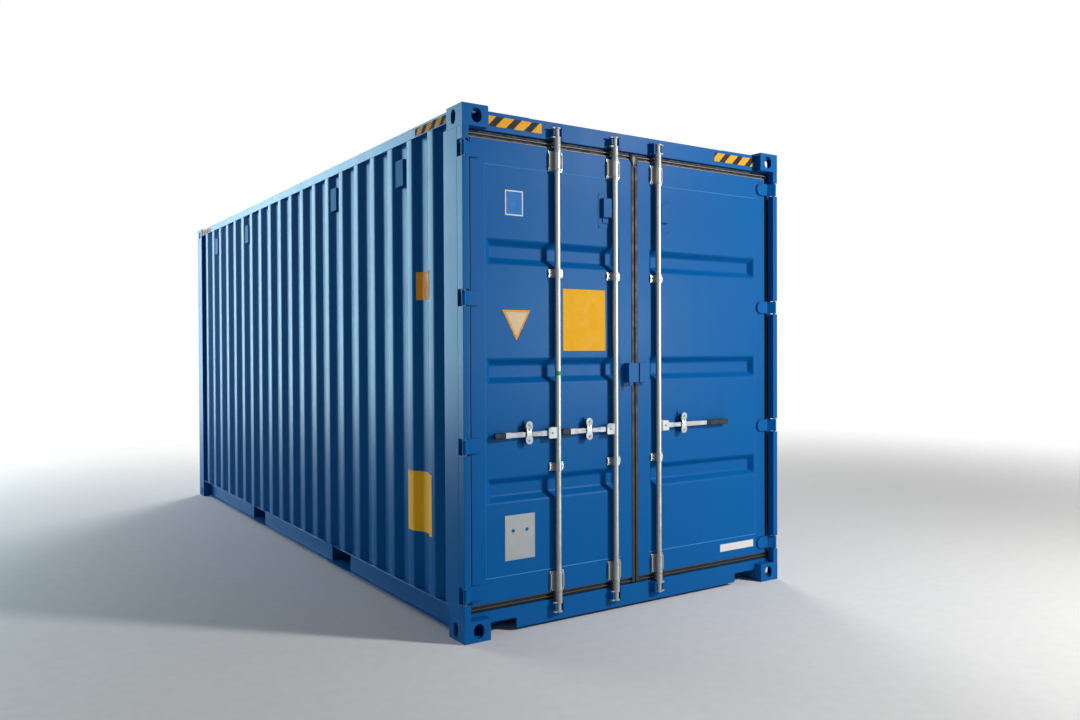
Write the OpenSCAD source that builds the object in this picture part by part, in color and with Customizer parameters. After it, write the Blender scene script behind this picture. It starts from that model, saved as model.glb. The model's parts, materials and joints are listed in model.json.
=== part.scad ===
// High-cube freight container with two end doors, three lock rods and a
// corrugated steel body. Millimetres. The origin is the middle of the footprint
// on the ground. X runs across, Y runs from the doors to the front wall, Z is up.
// Corner modules work in (u, v, z): u inwards from the side face, v inwards from
// the end face.

/* [Overall] */
// Length over the corner castings
length = 6058; // [4000:1:12192]
// Width over the corner castings
width = 2438; // [2200:1:2600]
// Height over the corner castings
height = 2896; // [2438:1:3100]

/* [Corner castings] */
// Casting length along Y
casting_l = 178; // [150:1:200]
// Casting width along X
casting_w = 162; // [140:1:180]
// Casting height
casting_h = 118; // [100:1:140]
// Casting wall
casting_wall = 16; // [10:0.5:22]
// Thickness of the plate with the long aperture
casting_plate = 28; // [20:0.5:32]
// Aperture centre from the side face
hole_u = 89; // [80:0.5:100]
// Aperture centre from the end face
hole_v = 101.5; // [90:0.5:110]
// Top and bottom aperture length
aperture_l = 124; // [100:0.5:130]
// Top and bottom aperture width
aperture_w = 63.5; // [50:0.5:70]
// Height of the side and end holes
hole_h = 79; // [60:0.5:90]
// Width of the side hole
side_hole_w = 51; // [40:0.5:60]
// Width of the end hole
end_hole_w = 63.5; // [50:0.5:70]

/* [Posts] */
// Post plate thickness
post_t = 6; // [4:0.5:8]
// Door post side flange depth
post_side = 217; // [190:1:240]
// Door post end flange width
post_end = 40; // [36:1:60]
// Door post return depth
post_return = 46; // [20:1:48]
// Inner channel front edge from the end face
channel_v = 65; // [60:1:80]
// Inner channel plate thickness
channel_t = 10; // [6:0.5:12]
// Door opening edge from the side face
opening_u = 49; // [40:1:60]

/* [Rails and frame] */
// Underside of the base rails above the ground
base_low = 17; // [12.5:0.5:30]
// Top of the bottom rails and of the floor
base_top = 175; // [150:1:200]
// Bottom rail plate thickness
rail_t = 4.5; // [3:0.5:6]
// Bottom side rail upper lip from the side face
rail_lip_u = 3; // [0:0.5:10]
// Bottom side rail lower lip from the side face
rail_foot_u = 42; // [20:1:60]
// Bottom side rail web from the side face
rail_web_u = 78; // [50:1:100]
// Top rail tube height
tube_h = 62; // [50:1:80]
// Top rail tube width
tube_w = 60; // [50:1:80]
// Top rail tube wall
tube_t = 4; // [3:0.5:5]
// Top rail face from the side face
tube_u = 3; // [0:0.5:10]
// Frame plate thickness of header and sill
frame_t = 4; // [3:0.5:6]
// Header and sill front face from the end face
frame_v = 52; // [40:1:60]
// Header and sill back face from the end face
frame_back = 190; // [178:1:220]
// Door stop from the end face
stop_v = 106; // [104:1:120]
// Header face height
header_face = 104; // [80:1:120]
// Step from header face down to the door opening
header_step = 34.5; // [20:0.5:50]
// Header and roof edge below the casting tops
header_drop = 14; // [8:1:25]
// Sill shelf above the ground
sill_shelf = 140; // [125:1:150]
// Sill top above the ground
sill_top = 164.5; // [150:0.5:172]
// Sill cut-out width beside each casting
sill_cut_w = 197; // [100:1:250]
// Sill cut-out height
sill_cut_h = 59; // [30:1:70]

/* [Walls and roof] */
// Sheet thickness of walls, roof and door panels
sheet = 2; // [1.6:0.1:3]
// Side wall corrugation pitch
wall_pitch = 278; // [200:1:320]
// Side wall outer flat width
wall_flat = 72; // [50:1:100]
// Side wall slope width
wall_slope = 68; // [40:1:90]
// Side wall outer flats from the side face
wall_out = 5; // [3:0.5:10]
// Side wall corrugation depth
wall_depth = 36; // [20:1:45]
// Front wall corrugation pitch
front_pitch = 250; // [200:1:300]
// Front wall outer flat width
front_flat = 110; // [80:1:130]
// Front wall slope width
front_slope = 18; // [10:1:40]
// Front wall corrugation depth
front_depth = 45; // [20:1:50]
// Roof corrugation pitch
roof_pitch = 209; // [150:1:260]
// Roof groove width at its mouth
roof_groove = 119; // [80:1:150]
// Roof groove depth
roof_depth = 20; // [10:1:30]
// Roof groove slope width
roof_slope = 16; // [8:1:30]
// Plain roof left at each end of the grooves
roof_plain = 100; // [60:1:140]
// Roof corner plate length across
corner_plate_x = 300; // [200:1:400]
// Roof corner plate thickness
corner_plate_t = 3; // [2:0.5:5]

/* [Floor] */
// Floor board thickness
floor_t = 28; // [20:1:35]
// Number of floor boards
floor_boards_n = 5; // [3:1:11]
// Gap between floor boards
floor_gap = 2; // [1:0.5:4]
// Cross member height
member_h = 122; // [90:1:124]
// Cross member flange width
member_w = 45; // [35:1:60]
// Cross member plate thickness
member_t = 4; // [3:0.5:6]
// Cross members between the pockets
members_mid = 5; // [3:1:9]
// Cross members outside each pocket
members_out = 5; // [2:1:16]

/* [Fork pockets] */
// Pocket centre from the middle of the container
pocket_y = 1025; // [900:1:1200]
// Pocket width
pocket_w = 360; // [300:1:400]
// Pocket clear height
pocket_h = 115; // [100:1:120]
// Pocket lower plate thickness
pocket_plate = 6; // [4:0.5:8]
// Pocket lower plate depth across
pocket_plate_x = 200; // [150:1:300]

/* [Door leaves] */
// Leaf thickness
leaf_t = 50; // [40:1:54]
// Leaf outer face from the end face
leaf_v = 50; // [45:1:55]
// Leaf edge from the door opening at the hinge side
edge_side = 25; // [20:1:30]
// Leaf edge from the centre line
edge_mid = 23; // [18:1:30]
// Leaf edge above the sill shelf
edge_low = 44; // [30:1:50]
// Leaf edge below the header shelf
edge_high = 48; // [40:1:60]
// Stile width
stile_w = 90; // [70:1:110]
// Top and bottom member height
member_door = 135; // [100:1:160]
// Leaf frame plate thickness
leaf_plate = 4; // [3:0.5:6]
// Door panel groove depth
groove_depth = 36; // [15:1:40]
// Door panel groove mouth height
groove_h = 134; // [100:1:160]
// Door panel groove slope height
groove_slope = 32; // [10:1:45]
// Door panel groove end slope
groove_end = 45; // [20:1:60]
// Distance between door panel grooves
groove_pitch = 662; // [500:1:750]
// Clearance of the seals from the frame
seal_gap = 5; // [5:0.5:8]
// Half gap between the two centre seals
seal_mid = 4.5; // [4.5:0.5:8]
// Seal front edge from the end face
seal_v = 66; // [60:1:80]
// Seal thickness
seal_t = 34; // [20:1:36]

/* [Hinges] */
// Hinge pin from the side face and from the end face
pin_uv = 14; // [12:0.5:16]
// Hinge pin diameter
pin_d = 16; // [12:0.5:18]
// Running clearance on the diameter
pin_play = 0.4; // [0.2:0.1:1]
// Knuckle diameter
knuckle_d = 26; // [22:0.5:27]
// Knuckle and blade height
knuckle_h = 80; // [60:1:100]
// Post slot height
hinge_slot = 90; // [70:1:120]
// Post slot depth along the side face
hinge_slot_v = 60; // [50:1:64]
// Blade thickness
blade_t = 12; // [8:0.5:14]
// Blade end from the side face
blade_end = 152; // [120:1:164]
// Hinges on each leaf
hinges = 4; // [3:1:5]
// Hinge centre from the leaf end
hinge_inset = 70; // [60:1:120]

/* [Lock rods] */
// Rod diameter
rod_d = 34; // [27:0.5:38]
// Rod centre from the end face
rod_v = 24; // [22:0.5:26]
// Left outer rod from the centre line
rod_outer_x = 590; // [450:1:750]
// Inner rods from the centre line
rod_inner_x = 170; // [140:1:220]
// Bearing bore clearance on the diameter
rod_play = 0.8; // [0.4:0.1:2]
// Bearing sleeve diameter
sleeve_d = 42; // [40:0.5:46]
// Bearing plate width
bearing_w = 94; // [70:1:110]
// Collar diameter at the sleeve ends
collar_d = 46; // [44:0.5:48]
// Bearing plate thickness
bearing_t = 6; // [4:0.5:8]
// End bearing height
bearing_h = 114; // [80:1:140]
// Guide bearing height
guide_h = 46; // [30:1:80]
// Guide bearing centres as a share of the leaf height
guide_at = [0.284, 0.719];
// Cam plate thickness
cam_t = 7; // [5:0.5:10]
// Cam height over both plates
cam_h = 60; // [50:1:70]
// Cam plate diameter
cam_d = 42; // [38:0.5:44]
// Cam nose reach from the rod centre
cam_nose = 40; // [30:1:50]
// Cam neck diameter
neck_d = 28; // [20:0.5:32]
// Barrel diameter between cam and end bearing
barrel_d = 40; // [36:1:42]
// Gap between barrel and end bearing
barrel_gap = 2; // [1:0.5:5]
// Keeper clearance around the cam
keeper_gap = 6; // [5:0.5:8]
// Height of the keeper lug beside the cam
keeper_h = 70; // [40:1:72]
// Keeper ear beyond the lug
keeper_ear = 16; // [8:1:24]
// Keeper lug thickness
keeper_t = 10; // [8:0.5:14]
// Cam centre above the ground at the sill
cam_low = 100; // [95:1:106]
// Cam centre below the header top
cam_high = 67; // [50:1:68]

/* [Handles] */
// Handle height above the ground
handle_z = 1103; // [900:1:1300]
// Handle bar height
bar_h = 25; // [20:1:32]
// Handle bar thickness
bar_t = 10; // [8:0.5:12]
// Handle bar front face from the end face
bar_v = 19; // [17:0.5:20]
// Pivot distance from the rod centre
pivot_x = 45; // [40:1:52]
// Pivot pin diameter
pivot_d = 14; // [10:0.5:18]
// Hub width beside the rod
hub_w = 56; // [46:1:64]
// Hub height
hub_h = 64; // [50:1:80]
// Hub cheek thickness
cheek_t = 5; // [4:0.5:6]
// Left outer handle reach from its rod
reach_outer = 425; // [350:1:460]
// Left inner handle reach from its rod
reach_inner = 396; // [350:1:398]
// Right handle reach from its rod
reach_right = 595; // [450:1:650]
// Grip length
grip_l = 108; // [80:1:160]
// Grip height
grip_h = 32; // [28:1:36]
// Grip thickness
grip_t = 14; // [12:0.5:18]
// Catch plate thickness on the handle
catch_t = 5; // [4:0.5:6]
// Catch lobe diameter
catch_d = 42; // [30:1:50]
// Handle holder centre from the rod
holder_x = 200; // [150:1:260]
// Handle holder plate width
holder_w = 46; // [35:1:60]
// Handle holder plate height
holder_h = 130; // [90:1:150]

/* [Vents and lock box] */
// Door vent centre from the centre line
door_vent_x = 226; // [200:1:300]
// Door vent centre below the leaf top
door_vent_drop = 325; // [260:1:400]
// Door vent plate width
door_vent_w = 100; // [80:1:120]
// Door vent plate height
door_vent_h = 210; // [150:1:240]
// Vent hood wall
hood_t = 2; // [1.5:0.5:3]
// Wall vent width
wall_vent_w = 104; // [80:1:120]
// Wall vent height
wall_vent_h = 160; // [120:1:200]
// Wall vent top below the side wall top
wall_vent_drop = 90; // [60:1:150]
// Lock box half width
lock_w = 80; // [60:1:110]
// Lock box lower edge
lock_low = 1378; // [1300:1:1450]
// Lock box height
lock_h = 116; // [90:1:140]
// Lock box flange beside the cover
lock_flange = 25; // [15:1:33]
// Lock box plate thickness
lock_t = 4; // [3:0.5:6]
// Lock box front face from the end face
lock_v = 5; // [4:0.5:12]

/* [Hidden] */
$fn = 48;
eps = 0.5;
weld_gap = 0.5;
roof_gap = 2;
header_top = height - header_drop;
header_shelf = header_top - header_face;
header_low = header_shelf - header_step;
wall_top = header_top - tube_h;
post_high = height - casting_h;
clear_x = width / 2 - opening_u;
between_x = width - 2 * casting_w;
between_y = length - 2 * casting_l;
leaf_x1 = clear_x - edge_side;
leaf_x0 = edge_mid;
leaf_z0 = sill_shelf + edge_low;
leaf_z1 = header_shelf - edge_high;
leaf_h = leaf_z1 - leaf_z0;
leaf_back = leaf_v + leaf_t;
panel_v = leaf_v + 1;
panel_x0 = leaf_x0 + stile_w;
panel_x1 = leaf_x1 - stile_w;
panel_z0 = leaf_z0 + member_door;
panel_z1 = leaf_z1 - member_door;
floor_low = base_top - floor_t;
member_low = floor_low - member_h;
member_x = width - 2 * (rail_web_u + rail_t);
pocket_low = base_low + pocket_plate;
cam_high_z = header_top - cam_high;
guide_z = [leaf_z0 + guide_at[0] * leaf_h, leaf_z0 + guide_at[1] * leaf_h];
bearing_z = [leaf_z0 + 6 + bearing_h / 2, leaf_z1 - 16 - bearing_h / 2];
bar_mid = bar_v + bar_t / 2;
hinge_step = (leaf_h - 2 * hinge_inset) / (hinges - 1);
wall_in = wall_out + wall_depth;
roof_in = tube_u + tube_w + 7;
groove_x = panel_x1 - panel_x0 - 4;
holder_z = handle_z + 12;
groove_z = (leaf_z0 + leaf_z1) / 2 + 2;
door_vent_z = leaf_z1 - door_vent_drop;
wall_ribs = floor((between_y - wall_flat - 2 * wall_slope) / wall_pitch) + 1;
front_ribs = floor((between_x - front_flat - 2 * front_slope) / front_pitch) + 1;
roof_grooves = floor((between_y - roof_groove - 2 * roof_plain) / roof_pitch) + 1;
barrel_low = bearing_z[0] - bearing_h / 2 - barrel_gap;
barrel_high = bearing_z[1] + bearing_h / 2 + barrel_gap;
blue = [0.05, 0.30, 0.58];
steel = [0.72, 0.72, 0.70];
dark = [0.08, 0.08, 0.09];
timber = [0.42, 0.29, 0.19];

// Placement helpers
module door_left() translate([-width / 2, -length / 2, 0]) children();
module flip_x() mirror([1, 0, 0]) children();
module flip_y() mirror([0, 1, 0]) children();
module both_sides() {
    children();
    flip_x() children();
}
module both_ends() {
    children();
    flip_y() children();
}
module along_x(l) rotate([90, 0, 90]) linear_extrude(l, center = true) children();
module along_y(l) rotate([90, 0, 0]) linear_extrude(l, center = true) children();
module at_door(x, z) translate([x, -length / 2, z]) children();

// Round-ended hole through a plate, long way up
module slot_x(w, h, depth) {
    cube([depth, w, h - w], center = true);
    for (s = [-1, 1])
        translate([0, 0, s * (h - w) / 2]) rotate([0, 90, 0]) cylinder(d = w, h = depth, center = true);
}
module slot_y(w, h, depth) rotate([0, 0, 90]) slot_x(w, h, depth);
module slot_z(w, l, depth) {
    cube([w, l - w, depth], center = true);
    for (s = [-1, 1]) translate([0, s * (l - w) / 2, 0]) cylinder(d = w, h = depth, center = true);
}

// Tray pressed down from z = 0, with sloped sides and ends
module tray(x, y, depth, slope_x, slope_y) {
    intersection() {
        along_y(y + 2) polygon([[-x / 2, 0], [x / 2, 0], [x / 2 - slope_x, -depth], [slope_x - x / 2, -depth]]);
        along_x(x + 2) polygon([[-y / 2, 0], [y / 2, 0], [y / 2 - slope_y, -depth], [slope_y - y / 2, -depth]]);
    }
}

// Corner castings
module casting() {
    difference() {
        cube([casting_w, casting_l, casting_h]);
        translate([casting_wall, casting_wall, casting_plate])
            cube([casting_w - 2 * casting_wall, casting_l - 2 * casting_wall,
                casting_h - casting_plate - casting_wall]);
        translate([hole_u, hole_v, casting_plate / 2]) slot_z(aperture_w, aperture_l, casting_plate + 2);
        translate([casting_wall / 2, hole_v, casting_h / 2]) slot_x(side_hole_w, hole_h, casting_wall + 2);
        translate([hole_u, casting_wall / 2, casting_h / 2]) slot_y(end_hole_w, hole_h, casting_wall + 2);
    }
}
module bottom_castings() color(blue) both_ends() both_sides() door_left() casting();
module top_castings() {
    color(blue) both_ends() both_sides() door_left()
        translate([0, 0, height]) mirror([0, 0, 1]) casting();
}

// Corner posts
module post_edge_section() {
    square([post_t, hinge_slot_v]);
    square([post_end, post_t]);
    translate([post_end - post_t, 0]) square([post_t, post_return]);
}
module door_post_section() {
    translate([0, hinge_slot_v]) square([post_t, casting_l - hinge_slot_v]);
    translate([opening_u - channel_t, channel_v]) square([channel_t, casting_l - channel_v]);
    translate([0, channel_v]) square([opening_u, channel_t]);
    translate([0, casting_l - channel_t]) square([opening_u, channel_t]);
}
module hinge_places() {
    for (i = [0 : hinges - 1])
        translate([0, 0, leaf_z0 + hinge_inset + i * hinge_step]) children();
}
module door_posts() {
    color(blue) both_sides() door_left() {
        translate([0, 0, casting_h]) linear_extrude(post_high - casting_h) door_post_section();
        translate([0, casting_l - eps, base_top])
            cube([post_t, post_side - casting_l + eps, post_high - base_top]);
    }
}
module door_post_edges() {
    stops = concat([casting_h],
        [for (i = [0 : hinges - 1], k = [-1, 1]) leaf_z0 + hinge_inset + i * hinge_step + k * hinge_slot / 2],
        [post_high]);
    color(blue) both_sides() door_left() for (i = [0 : hinges])
        translate([0, 0, stops[2 * i]])
            linear_extrude(stops[2 * i + 1] - stops[2 * i]) post_edge_section();
}
module front_post_section() {
    square([post_t, casting_l]);
    square([casting_w, post_t]);
    translate([casting_w - post_t, 0]) square([post_t, casting_wall + front_depth]);
    translate([0, casting_l - post_t]) square([wall_in + sheet, post_t]);
}
module front_posts() {
    color(blue) flip_y() both_sides() door_left()
        translate([0, 0, casting_h]) linear_extrude(post_high - casting_h) front_post_section();
}

// Header and sill around the doors
module casting_room(z, h) {
    both_sides() door_left() {
        translate([-1, -1, z]) cube([casting_w + 1, casting_l + 1, h]);
        translate([-1, casting_l, -1]) cube([casting_w + 1, frame_back - casting_l + 1, height]);
    }
}
module door_header() {
    color(blue) difference() {
        translate([0, -length / 2, 0]) along_x(2 * clear_x) difference() {
            polygon([[frame_v, header_shelf], [stop_v, header_shelf], [stop_v, header_low],
                [frame_back, header_low], [frame_back, header_top], [frame_v, header_top]]);
            polygon([[frame_v + frame_t, header_shelf + frame_t], [stop_v + frame_t, header_shelf + frame_t],
                [stop_v + frame_t, header_low + frame_t], [frame_back - frame_t, header_low + frame_t],
                [frame_back - frame_t, header_top - frame_t], [frame_v + frame_t, header_top - frame_t]]);
        }
        casting_room(post_high, casting_h + 1);
    }
}
module door_sill() {
    color(blue) difference() {
        translate([0, -length / 2, 0]) along_x(2 * clear_x) difference() {
            polygon([[frame_v, base_low], [frame_v, sill_shelf], [stop_v, sill_shelf], [stop_v, sill_top],
                [frame_back, sill_top], [frame_back, base_low]]);
            polygon([[frame_v + frame_t, base_low - 1], [frame_v + frame_t, sill_shelf - frame_t],
                [stop_v + frame_t, sill_shelf - frame_t], [stop_v + frame_t, sill_top - frame_t],
                [frame_back - frame_t, sill_top - frame_t], [frame_back - frame_t, base_low - 1]]);
        }
        casting_room(-1, casting_h + 1);
        both_sides() at_door(-between_x / 2, base_low) translate([-1, frame_v - 1, -1])
            cube([sill_cut_w + 1, frame_t + 2, sill_cut_h + 1]);
    }
}

// Rails
module tube_section() {
    difference() {
        square([tube_w, tube_h]);
        translate([tube_t, tube_t]) square([tube_w - 2 * tube_t, tube_h - 2 * tube_t]);
    }
}
module top_side_rails() {
    color(blue) both_sides() translate([tube_u - width / 2, 0, wall_top])
        along_y(between_y) tube_section();
}
module front_top_rail() {
    color(blue) translate([0, length / 2 - tube_u - tube_w, wall_top]) along_x(between_x) tube_section();
}
module rail_section() {
    translate([rail_lip_u, base_top - rail_t]) square([rail_web_u + rail_t - rail_lip_u, rail_t]);
    translate([rail_web_u, base_low]) square([rail_t, base_top - base_low]);
    translate([rail_foot_u, base_low]) square([rail_web_u + rail_t - rail_foot_u, rail_t]);
}
module bottom_side_rails() {
    inner = 2 * pocket_y - pocket_w;
    outer = between_y / 2 - pocket_y - pocket_w / 2;
    color(blue) both_sides() translate([-width / 2, 0, 0]) {
        along_y(inner) rail_section();
        both_ends() translate([0, (between_y - outer) / 2, 0]) along_y(outer) rail_section();
    }
}
module front_bottom_rail() {
    color(blue) translate([0, length / 2 - tube_u, 0]) along_x(between_x) {
        translate([-rail_t, base_low]) square([rail_t, base_top - base_low]);
        translate([-rail_web_u, base_top - rail_t]) square([rail_web_u, rail_t]);
        translate([-rail_web_u, base_low]) square([rail_web_u, rail_t]);
    }
}

// Cross members, fork pockets and floor
module channel_member(low) {
    along_x(member_x) {
        translate([0, low]) square([member_t, floor_low - low]);
        translate([0, floor_low - member_t]) square([member_w, member_t]);
        translate([0, low]) square([member_w, member_t]);
    }
}
module cross_members() {
    inner = pocket_y - pocket_w / 2 - member_w - member_t;
    outer = pocket_y + pocket_w / 2 + member_w + member_t;
    last = length / 2 - frame_back - member_w - 10;
    color(blue) {
        for (i = [1 : members_mid])
            translate([0, -inner + 2 * inner * i / (members_mid + 1) - member_w / 2, 0])
                channel_member(member_low);
        both_ends() for (i = [1 : members_out])
            translate([0, outer + (last - outer) * i / members_out - member_w, 0])
                channel_member(member_low);
    }
}
module fork_pocket_members() {
    color(blue) both_ends() {
        translate([0, pocket_y + pocket_w / 2, 0]) channel_member(base_low);
        translate([0, pocket_y - pocket_w / 2, 0]) flip_y() channel_member(base_low);
    }
}
module pocket_head_section() {
    top = pocket_low + pocket_h;
    translate([rail_lip_u, base_top - rail_t]) square([rail_web_u + rail_t - rail_lip_u, rail_t]);
    translate([rail_web_u, top]) square([rail_t, base_top - top]);
}
module fork_pocket_plates() {
    color(blue) both_ends() {
        translate([weld_gap - member_x / 2, pocket_y - pocket_w / 2, pocket_low + pocket_h])
            cube([member_x - 2 * weld_gap, pocket_w, member_t]);
        both_sides() {
            translate([-width / 2, pocket_y, 0]) along_y(pocket_w) pocket_head_section();
            translate([rail_foot_u - width / 2, pocket_y - pocket_w / 2, base_low])
                cube([pocket_plate_x, pocket_w, pocket_plate]);
        }
    }
}
module floor_boards() {
    y0 = frame_back + 1 - length / 2;
    y1 = length / 2 - tube_u - rail_web_u - 1;
    step = (y1 - y0 + floor_gap) / floor_boards_n;
    color(timber) for (i = [0 : floor_boards_n - 1])
        translate([1 - member_x / 2, y0 + i * step, floor_low])
            cube([member_x - 2, step - floor_gap, floor_t]);
}

// Corrugated walls: outline of one face, from the first flat to the last
function wave(n, pitch, flat, slope, depth, end) = concat(
    [[-end, depth]],
    [for (i = [0 : n - 1], k = [0 : 3])
        let (c = (i - (n - 1) / 2) * pitch, h = flat / 2)
        [c + [-h - slope, -h, h, h + slope][k], [depth, 0, 0, depth][k]]],
    [[end, depth]]);
module wave_sheet(points) {
    n = len(points);
    polygon(concat(points, [for (i = [n - 1 : -1 : 0]) points[i] + [0, sheet]]));
}
module left_wall() {
    color(blue) translate([wall_out - width / 2, 0, base_top]) rotate([0, 0, 90]) mirror([0, 1, 0])
        linear_extrude(wall_top - base_top)
            wave_sheet(wave(wall_ribs, wall_pitch, wall_flat, wall_slope, wall_depth, between_y / 2));
}
module right_wall() flip_x() left_wall();
module front_wall() {
    color(blue) translate([0, length / 2 - wall_out, base_top]) mirror([0, 1, 0])
        linear_extrude(wall_top - base_top)
            wave_sheet(wave(front_ribs, front_pitch, front_flat, front_slope, front_depth, between_x / 2));
}

// Roof
module roof_trays(grow) {
    for (i = [0 : roof_grooves - 1])
        translate([0, (i - (roof_grooves - 1) / 2) * roof_pitch, 0])
            tray(width - 2 * roof_in + 2 * grow, roof_groove + 2 * grow, roof_depth, roof_slope * 2, roof_slope);
}
module roof_panel() {
    color(blue) translate([0, 0, header_top + sheet]) difference() {
        union() {
            translate([20 - width / 2, roof_gap - between_y / 2, -sheet])
                cube([width - 40, between_y - 2 * roof_gap, sheet]);
            roof_trays(sheet);
        }
        translate([0, 0, sheet]) roof_trays(0);
    }
    color(blue) translate([roof_gap - between_x / 2, between_y / 2 - roof_gap + weld_gap, header_top])
        cube([between_x - 2 * roof_gap, casting_l - tube_u + roof_gap - weld_gap - 2, sheet]);
}
module roof_corner_plates() {
    color(blue) both_sides() {
        door_left() translate([casting_w + 2, frame_v + 4, header_top])
            cube([corner_plate_x, casting_l - frame_v - 4, corner_plate_t]);
        flip_y() door_left() translate([casting_w + 2, frame_v + 4, header_top + sheet])
            cube([corner_plate_x, casting_l - frame_v - 4, corner_plate_t]);
    }
}

// Vents on the side walls
// whose sides follow the slopes of the corrugation they sit in
module wall_vent_plan(t) {
    w = wall_vent_w / 2 - t;
    seat = (wall_pitch - wall_flat) / 2 - wall_slope - 1 - t;
    turn = wall_depth * (1 - (w - seat) / wall_slope) - 1;
    polygon([[t, -w], [turn, -w], [wall_depth, -seat], [wall_depth, seat], [turn, w], [t, w]]);
}
module wall_vent() {
    difference() {
        linear_extrude(wall_vent_h) wall_vent_plan(0);
        translate([0, 0, -1]) linear_extrude(wall_vent_h - hood_t + 1) wall_vent_plan(hood_t);
    }
}
module wall_vents() {
    shift = (wall_ribs % 2) / 2;
    color(blue) both_sides() both_ends() for (i = [4, 8])
        translate([wall_out - width / 2, -(i - shift) * wall_pitch, wall_top - wall_vent_drop - wall_vent_h])
            wall_vent();
}

// Hinges
module hinge_pins() {
    lug = (hinge_slot + 24) / 2;
    color(steel) both_sides() door_left() hinge_places() translate([pin_uv, pin_uv, 0]) {
        cylinder(d = pin_d, h = 2 * lug, center = true);
        for (s = [-1, 1])
            translate([0, 0, s * (hinge_slot / 2 + 6)])
                cube([2 * (pin_uv - post_t), 2 * (pin_uv - post_t), 12], center = true);
    }
}
module hinge_blade() {
    difference() {
        union() {
            translate([pin_uv, pin_uv, -knuckle_h / 2]) cylinder(d = knuckle_d, h = knuckle_h);
            translate([0, 0, -knuckle_h / 2]) linear_extrude(knuckle_h)
                polygon([[pin_uv - 6, pin_uv + 10], [pin_uv + 6, pin_uv - 10], [pin_uv + 44, leaf_v - blade_t],
                    [blade_end - knuckle_h / 2, leaf_v - blade_t], [blade_end - knuckle_h / 2, leaf_v],
                    [pin_uv + 40, leaf_v]]);
            translate([blade_end - knuckle_h / 2, leaf_v, 0]) rotate([90, 0, 0])
                cylinder(d = knuckle_h, h = blade_t);
        }
        translate([pin_uv, pin_uv, -knuckle_h / 2 - 1]) cylinder(d = pin_d + pin_play, h = knuckle_h + 2);
    }
}
module left_door_hinges() color(blue) door_left() hinge_places() hinge_blade();
module right_door_hinges() flip_x() left_door_hinges();

// Door leaves
module left_door_frame() {
    w = leaf_x1 - leaf_x0;
    color(blue) at_door(-leaf_x1, leaf_z0) translate([0, leaf_v, 0]) {
        for (x = [0, w - stile_w]) translate([x, 0, 0]) difference() {
            cube([stile_w, leaf_t, leaf_h]);
            translate([leaf_plate, leaf_plate, -1])
                cube([stile_w - 2 * leaf_plate, leaf_t - 2 * leaf_plate, leaf_h + 2]);
        }
        for (z = [0, leaf_h - member_door]) translate([stile_w, 0, z]) difference() {
            cube([w - 2 * stile_w, leaf_t, member_door]);
            translate([-1, leaf_plate, leaf_plate])
                cube([w - 2 * stile_w + 2, leaf_t, member_door - 2 * leaf_plate]);
        }
    }
}
module right_door_frame() flip_x() left_door_frame();
module door_trays(grow) {
    for (i = [-1, 0, 1])
        translate([0, i * groove_pitch, 0])
            tray(groove_x + 2 * grow, groove_h + 2 * grow, groove_depth, groove_end, groove_slope);
}
module left_door_panel() {
    color(blue) at_door(-(panel_x0 + panel_x1) / 2, groove_z) translate([0, panel_v, 0])
        rotate([90, 0, 0]) difference() {
            union() {
                translate([-(panel_x1 - panel_x0) / 2, panel_z0 - groove_z, -sheet])
                    cube([panel_x1 - panel_x0, panel_z1 - panel_z0, sheet]);
                door_trays(sheet);
            }
            translate([0, 0, sheet]) door_trays(0);
        }
}
module right_door_panel() flip_x() left_door_panel();
module left_door_seal() {
    color(dark) at_door(0, 0) translate([0, seal_v, 0]) difference() {
        translate([-clear_x + seal_gap, 0, sill_shelf + seal_gap])
            cube([clear_x - seal_gap - seal_mid, seal_t, header_shelf - sill_shelf - 2 * seal_gap]);
        translate([-leaf_x1, -1, leaf_z0]) cube([leaf_x1 - leaf_x0, seal_t + 2, leaf_h]);
    }
}
module right_door_seal() flip_x() left_door_seal();

// Lock rods with their cams and hubs; the handle lies towards -X
module cam() {
    for (s = [-1, 1]) translate([0, 0, s * (cam_h - cam_t) / 2]) {
        cylinder(d = cam_d, h = cam_t, center = true);
        translate([-cam_nose + cam_d / 4, 0, 0]) cylinder(d = cam_d / 2, h = cam_t, center = true);
        translate([(cam_d / 4 - cam_nose) / 2, 0, 0]) cube([cam_nose - cam_d / 4, cam_d / 2, cam_t], center = true);
    }
    cylinder(d = neck_d, h = cam_h, center = true);
}
module cams() {
    color(steel) at_door(0, 0) translate([0, rod_v, 0]) {
        translate([0, 0, cam_low]) cam();
        translate([0, 0, cam_low + cam_h / 2 - eps]) cylinder(d = barrel_d, h = barrel_low - cam_low - cam_h / 2 + eps);
        translate([0, 0, cam_high_z]) cam();
        translate([0, 0, barrel_high]) cylinder(d = barrel_d, h = cam_high_z - cam_h / 2 - barrel_high + eps);
    }
}
module rod() {
    color(steel) at_door(0, barrel_low) translate([0, rod_v, 0])
        cylinder(d = rod_d, h = barrel_high - barrel_low);
}
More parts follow.
